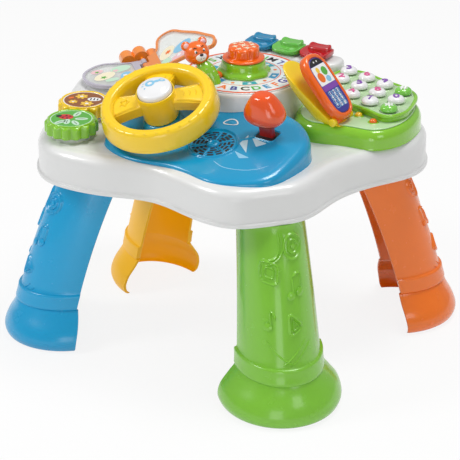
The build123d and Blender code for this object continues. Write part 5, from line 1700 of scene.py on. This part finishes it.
@dataclass
class Book:
    """Two clear printed pages that turn on an orange spine above a white dome."""

    spine: tuple[float, float, float] = (-197.0, 85.0, 320.0)
    drop: float = 8.0
    rise: float = 33.0

    def page(self, lift: float, side: float) -> Datum:
        """Datum of a page's middle plane at the spine; u runs out from the spine.

        Args:
            lift: degrees by which the page rises.
            side: 1 for the lying page, -1 for the raised one.

        Returns:
            The datum.
        """
        c, s = heading(SPINE_TURN)
        out = np.array((-s, c, 0.0)) * side
        a = math.radians(lift)
        right = out * math.cos(a) + np.array((0, 0, math.sin(a)))
        normal = out * -math.sin(a) + np.array((0, 0, math.cos(a)))
        return Datum(self.spine, tuple(right), tuple(normal))

    def build(self) -> None:
        """Dress the CAD pages and print them."""
        dress(Hue.BOOK_ORANGE, "book_spine")
        dress(Hue.LILAC, "page_lying_rim")
        dress(Hue.PAGE_ORANGE, "page_raised_rim")
        dress(Hue.CLEAR, "page_lying_sheet", "page_raised_sheet")
        dress(Hue.GLOSS_WHITE, "page_dome")
        self.lying()
        self.raised()

    @staticmethod
    def decorate(form: Form, at: Surface, blots: Sequence[tuple], stars: Sequence[tuple], notch: float,
              tips: int) -> None:
        """Print a page with soft blots and a star or flower on most of them.

        Args:
            form: the page's print.
            at: the page's middle plane.
            blots: (u, v, half-axis, half-axis, turn, finish) of each blot.
            stars: (u, v, size, finish) of each star.
            notch: the stars' inner radius as a share of their size.
            tips: how many tips each star has.
        """
        for u, v, a, b, turn, hue in blots:
            form.patch(at, ellipse(u, v, a, b, turn, 30), 0.9, 1.35, hue=hue)
        for u, v, size, hue in stars:
            form.patch(at, star(u, v, size, size * notch, tips), 0.9, 1.5, hue=hue)

    def lying(self) -> None:
        """Garden print: pastel hills, a pink flower and small discs."""
        at = self.page(-self.drop, 1.0).at
        form = Form("page_lying_print", Hue.INK_MINT, Hue.INK_ROSE, Hue.INK_CREAM, Hue.INK_GREEN,
                    Hue.INK_WHITE, Hue.INK_SKY)
        blots = ((36, 14, 15, 11, 10, 0), (62, 30, 17, 12, 30, 2), (32, 44, 14, 9, 80, 5),
                 (70, 8, 9, 7, 0, 1), (54, 48, 10, 6, 0, 0))
        stars = ((44, 18, 6, 1), (64, 34, 5.4, 3), (34, 42, 4.6, 4), (70, 10, 4, 3))
        self.decorate(form, at, blots, stars, 0.5, 5)
        form.ride("lying_page", slot="clear_sheet")

    def raised(self) -> None:
        """Sky print: pastel clouds, an orange sun and a green field."""
        at = self.page(self.rise, -1.0).at
        form = Form("page_raised_print", Hue.INK_SKY, Hue.INK_ORANGE, Hue.INK_CREAM, Hue.INK_MINT,
                    Hue.INK_WHITE, Hue.INK_ROSE)
        blots = ((36, -30, 17, 12, 60, 2), (60, -40, 16, 12, 20, 0), (80, -62, 13, 10, 40, 3),
                 (50, -62, 13, 8, 0, 5), (28, -54, 9, 9, 0, 3))
        stars = ((38, -30, 6, 1), (62, -44, 6.4, 4), (82, -66, 5, 1), (50, -60, 4.6, 4))
        self.decorate(form, at, blots, stars, 0.55, 6)
        form.ride("raised_page", slot="clear_sheet")


ASSEMBLIES = (PlayTop, Legs, LetterDial, Bear, DrivingConsole, SteeringWheel, GearLever, Cogs, PhoneStation,
              FlipPhone, PianoKeys, Book)


# ------------------------------------------------------------------------------ studio
@dataclass
class Studio:
    """Pale floor, soft lamps and a long-lens camera low over the driver's right shoulder."""

    azimuth: float = 34.2
    elevation: float = 25.3
    distance: float = 2745.6
    target: tuple[float, float, float] = (45.6, -47.8, 165.0)
    focal_px: float = 2000.0
    frame_px: float = 460.0
    floor_half: float = 12.0
    floor_lift: float = 0.86
    world_light: float = 0.4
    aim: tuple[float, float, float] = (0.0, 0.0, 0.25)

    def camera(self) -> bpy.types.Object:
        """Make the camera and hand it to the scene."""
        a, e = math.radians(self.azimuth), math.radians(self.elevation)
        back = Vector((math.sin(a) * math.cos(e), -math.cos(a) * math.cos(e), math.sin(e)))
        data = bpy.data.cameras.new("camera")
        data.sensor_width = 36.0
        data.lens = data.sensor_width * self.focal_px / self.frame_px
        data.clip_end = 60.0
        made = bpy.data.objects.new("camera", data)
        made.location = (Vector(self.target) + back * self.distance) * MM
        made.rotation_euler = back.to_track_quat("Z", "Y").to_euler()
        bpy.context.scene.collection.objects.link(made)
        bpy.context.scene.camera = made
        return made

    def lamp(self, name: str, place: Vector, size: float, power: float) -> None:
        """Add a square soft lamp that faces the play top.

        Args:
            name: the lamp's name.
            place: where it stands, in metres.
            size: its side in metres.
            power: its watts.
        """
        data = bpy.data.lights.new(name, "AREA")
        data.size = size
        data.energy = power
        made = bpy.data.objects.new(name, data)
        made.location = place
        made.rotation_euler = (place - Vector(self.aim)).to_track_quat("Z", "Y").to_euler()
        bpy.context.scene.collection.objects.link(made)

    def floor(self) -> None:
        """Add the floor: nearly white to the eye, and it keeps a faint shadow."""
        h = self.floor_half
        mesh = bpy.data.meshes.new("floor")
        mesh.from_pydata([(-h, -h, 0), (h, -h, 0), (h, h, 0), (-h, h, 0)], [], [(0, 1, 2, 3)])
        shade = Shade("floor_white")
        patch = shade.noise(1.5)
        shade.set(Base_Color=shade.mix(patch, (0.86, 0.86, 0.86, 1), (0.88, 0.88, 0.88, 1)), Roughness=0.9)
        shade.set(Specular_IOR_Level=0.0)
        rays = shade.node("ShaderNodeLightPath", {}, output="Is Camera Ray")
        gloss = shade.node("ShaderNodeLightPath", {}, output="Is Glossy Ray")
        through = shade.node("ShaderNodeLightPath", {}, output="Is Transmission Ray")
        seen = rays + gloss + through
        glow = shade.node("ShaderNodeEmission", {}, Color=(1, 1, 1, 1), Strength=1.0)
        plain = Sig(shade, shade.shader.outputs[0])
        blend = shade.node("ShaderNodeMixShader", {}, seen * self.floor_lift, plain, glow)
        shade.finish(blend, "Material Output")
        mesh.materials.append(shade.material)
        made = bpy.data.objects.new("floor", mesh)
        bpy.context.scene.collection.objects.link(made)
        made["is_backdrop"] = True

    def world(self) -> None:
        """White surroundings to the camera and in reflections, and a soft light from them."""
        made = bpy.data.worlds.new("surroundings")
        bpy.context.scene.world = made
        made.use_nodes = True
        nodes = Nodes(made.node_tree)
        ground = made.node_tree.nodes["Background"]
        nodes.feed(ground.inputs["Color"], (1.0, 1.0, 1.0, 1.0))
        nodes.feed(ground.inputs["Strength"], self.world_light)
        white = nodes.node("ShaderNodeBackground", {}, Strength=1.0)
        direct = nodes.node("ShaderNodeLightPath", {}, output="Is Camera Ray")
        through = nodes.node("ShaderNodeLightPath", {}, output="Is Transmission Ray")
        either = nodes.node("ShaderNodeMath", {"operation": "MAXIMUM"}, direct, through)
        blend = nodes.node("ShaderNodeMixShader", {}, either, Sig(nodes, ground.outputs[0]), white)
        nodes.finish(blend, "World Output")

    def build(self) -> None:
        """Set up the view, the lamps, the floor and the surroundings."""
        bpy.context.scene.view_settings.view_transform = "Standard"
        self.camera()
        self.lamp("key_lamp", Vector((-1.5, -1.5, 2.1)), 0.8, 28.0)
        self.lamp("fill_lamp", Vector((2.4, -0.9, 1.5)), 1.0, 8.0)
        self.lamp("top_lamp", Vector((0.3, 0.5, 2.6)), 0.9, 30.0)
        self.lamp("low_lamp", Vector((0.9, -1.7, 0.3)), 0.7, 3.5)
        self.floor()
        self.world()
        LOG.info("studio ready")


def report_sizes() -> None:
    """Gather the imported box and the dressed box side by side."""
    boxes = {"cad": CAD_BOX, "visual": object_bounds()}
    plain = {name: [list(low), list(high)] for name, (low, high) in boxes.items()}


def main() -> None:
    """Dress every sub-assembly in order, then set up the studio."""
    logging.basicConfig(level=logging.INFO, format="%(message)s")
    for assembly in ASSEMBLIES:
        assembly().build()
    Studio().build()
    report_sizes()


if __name__ == "__main__":
    main()
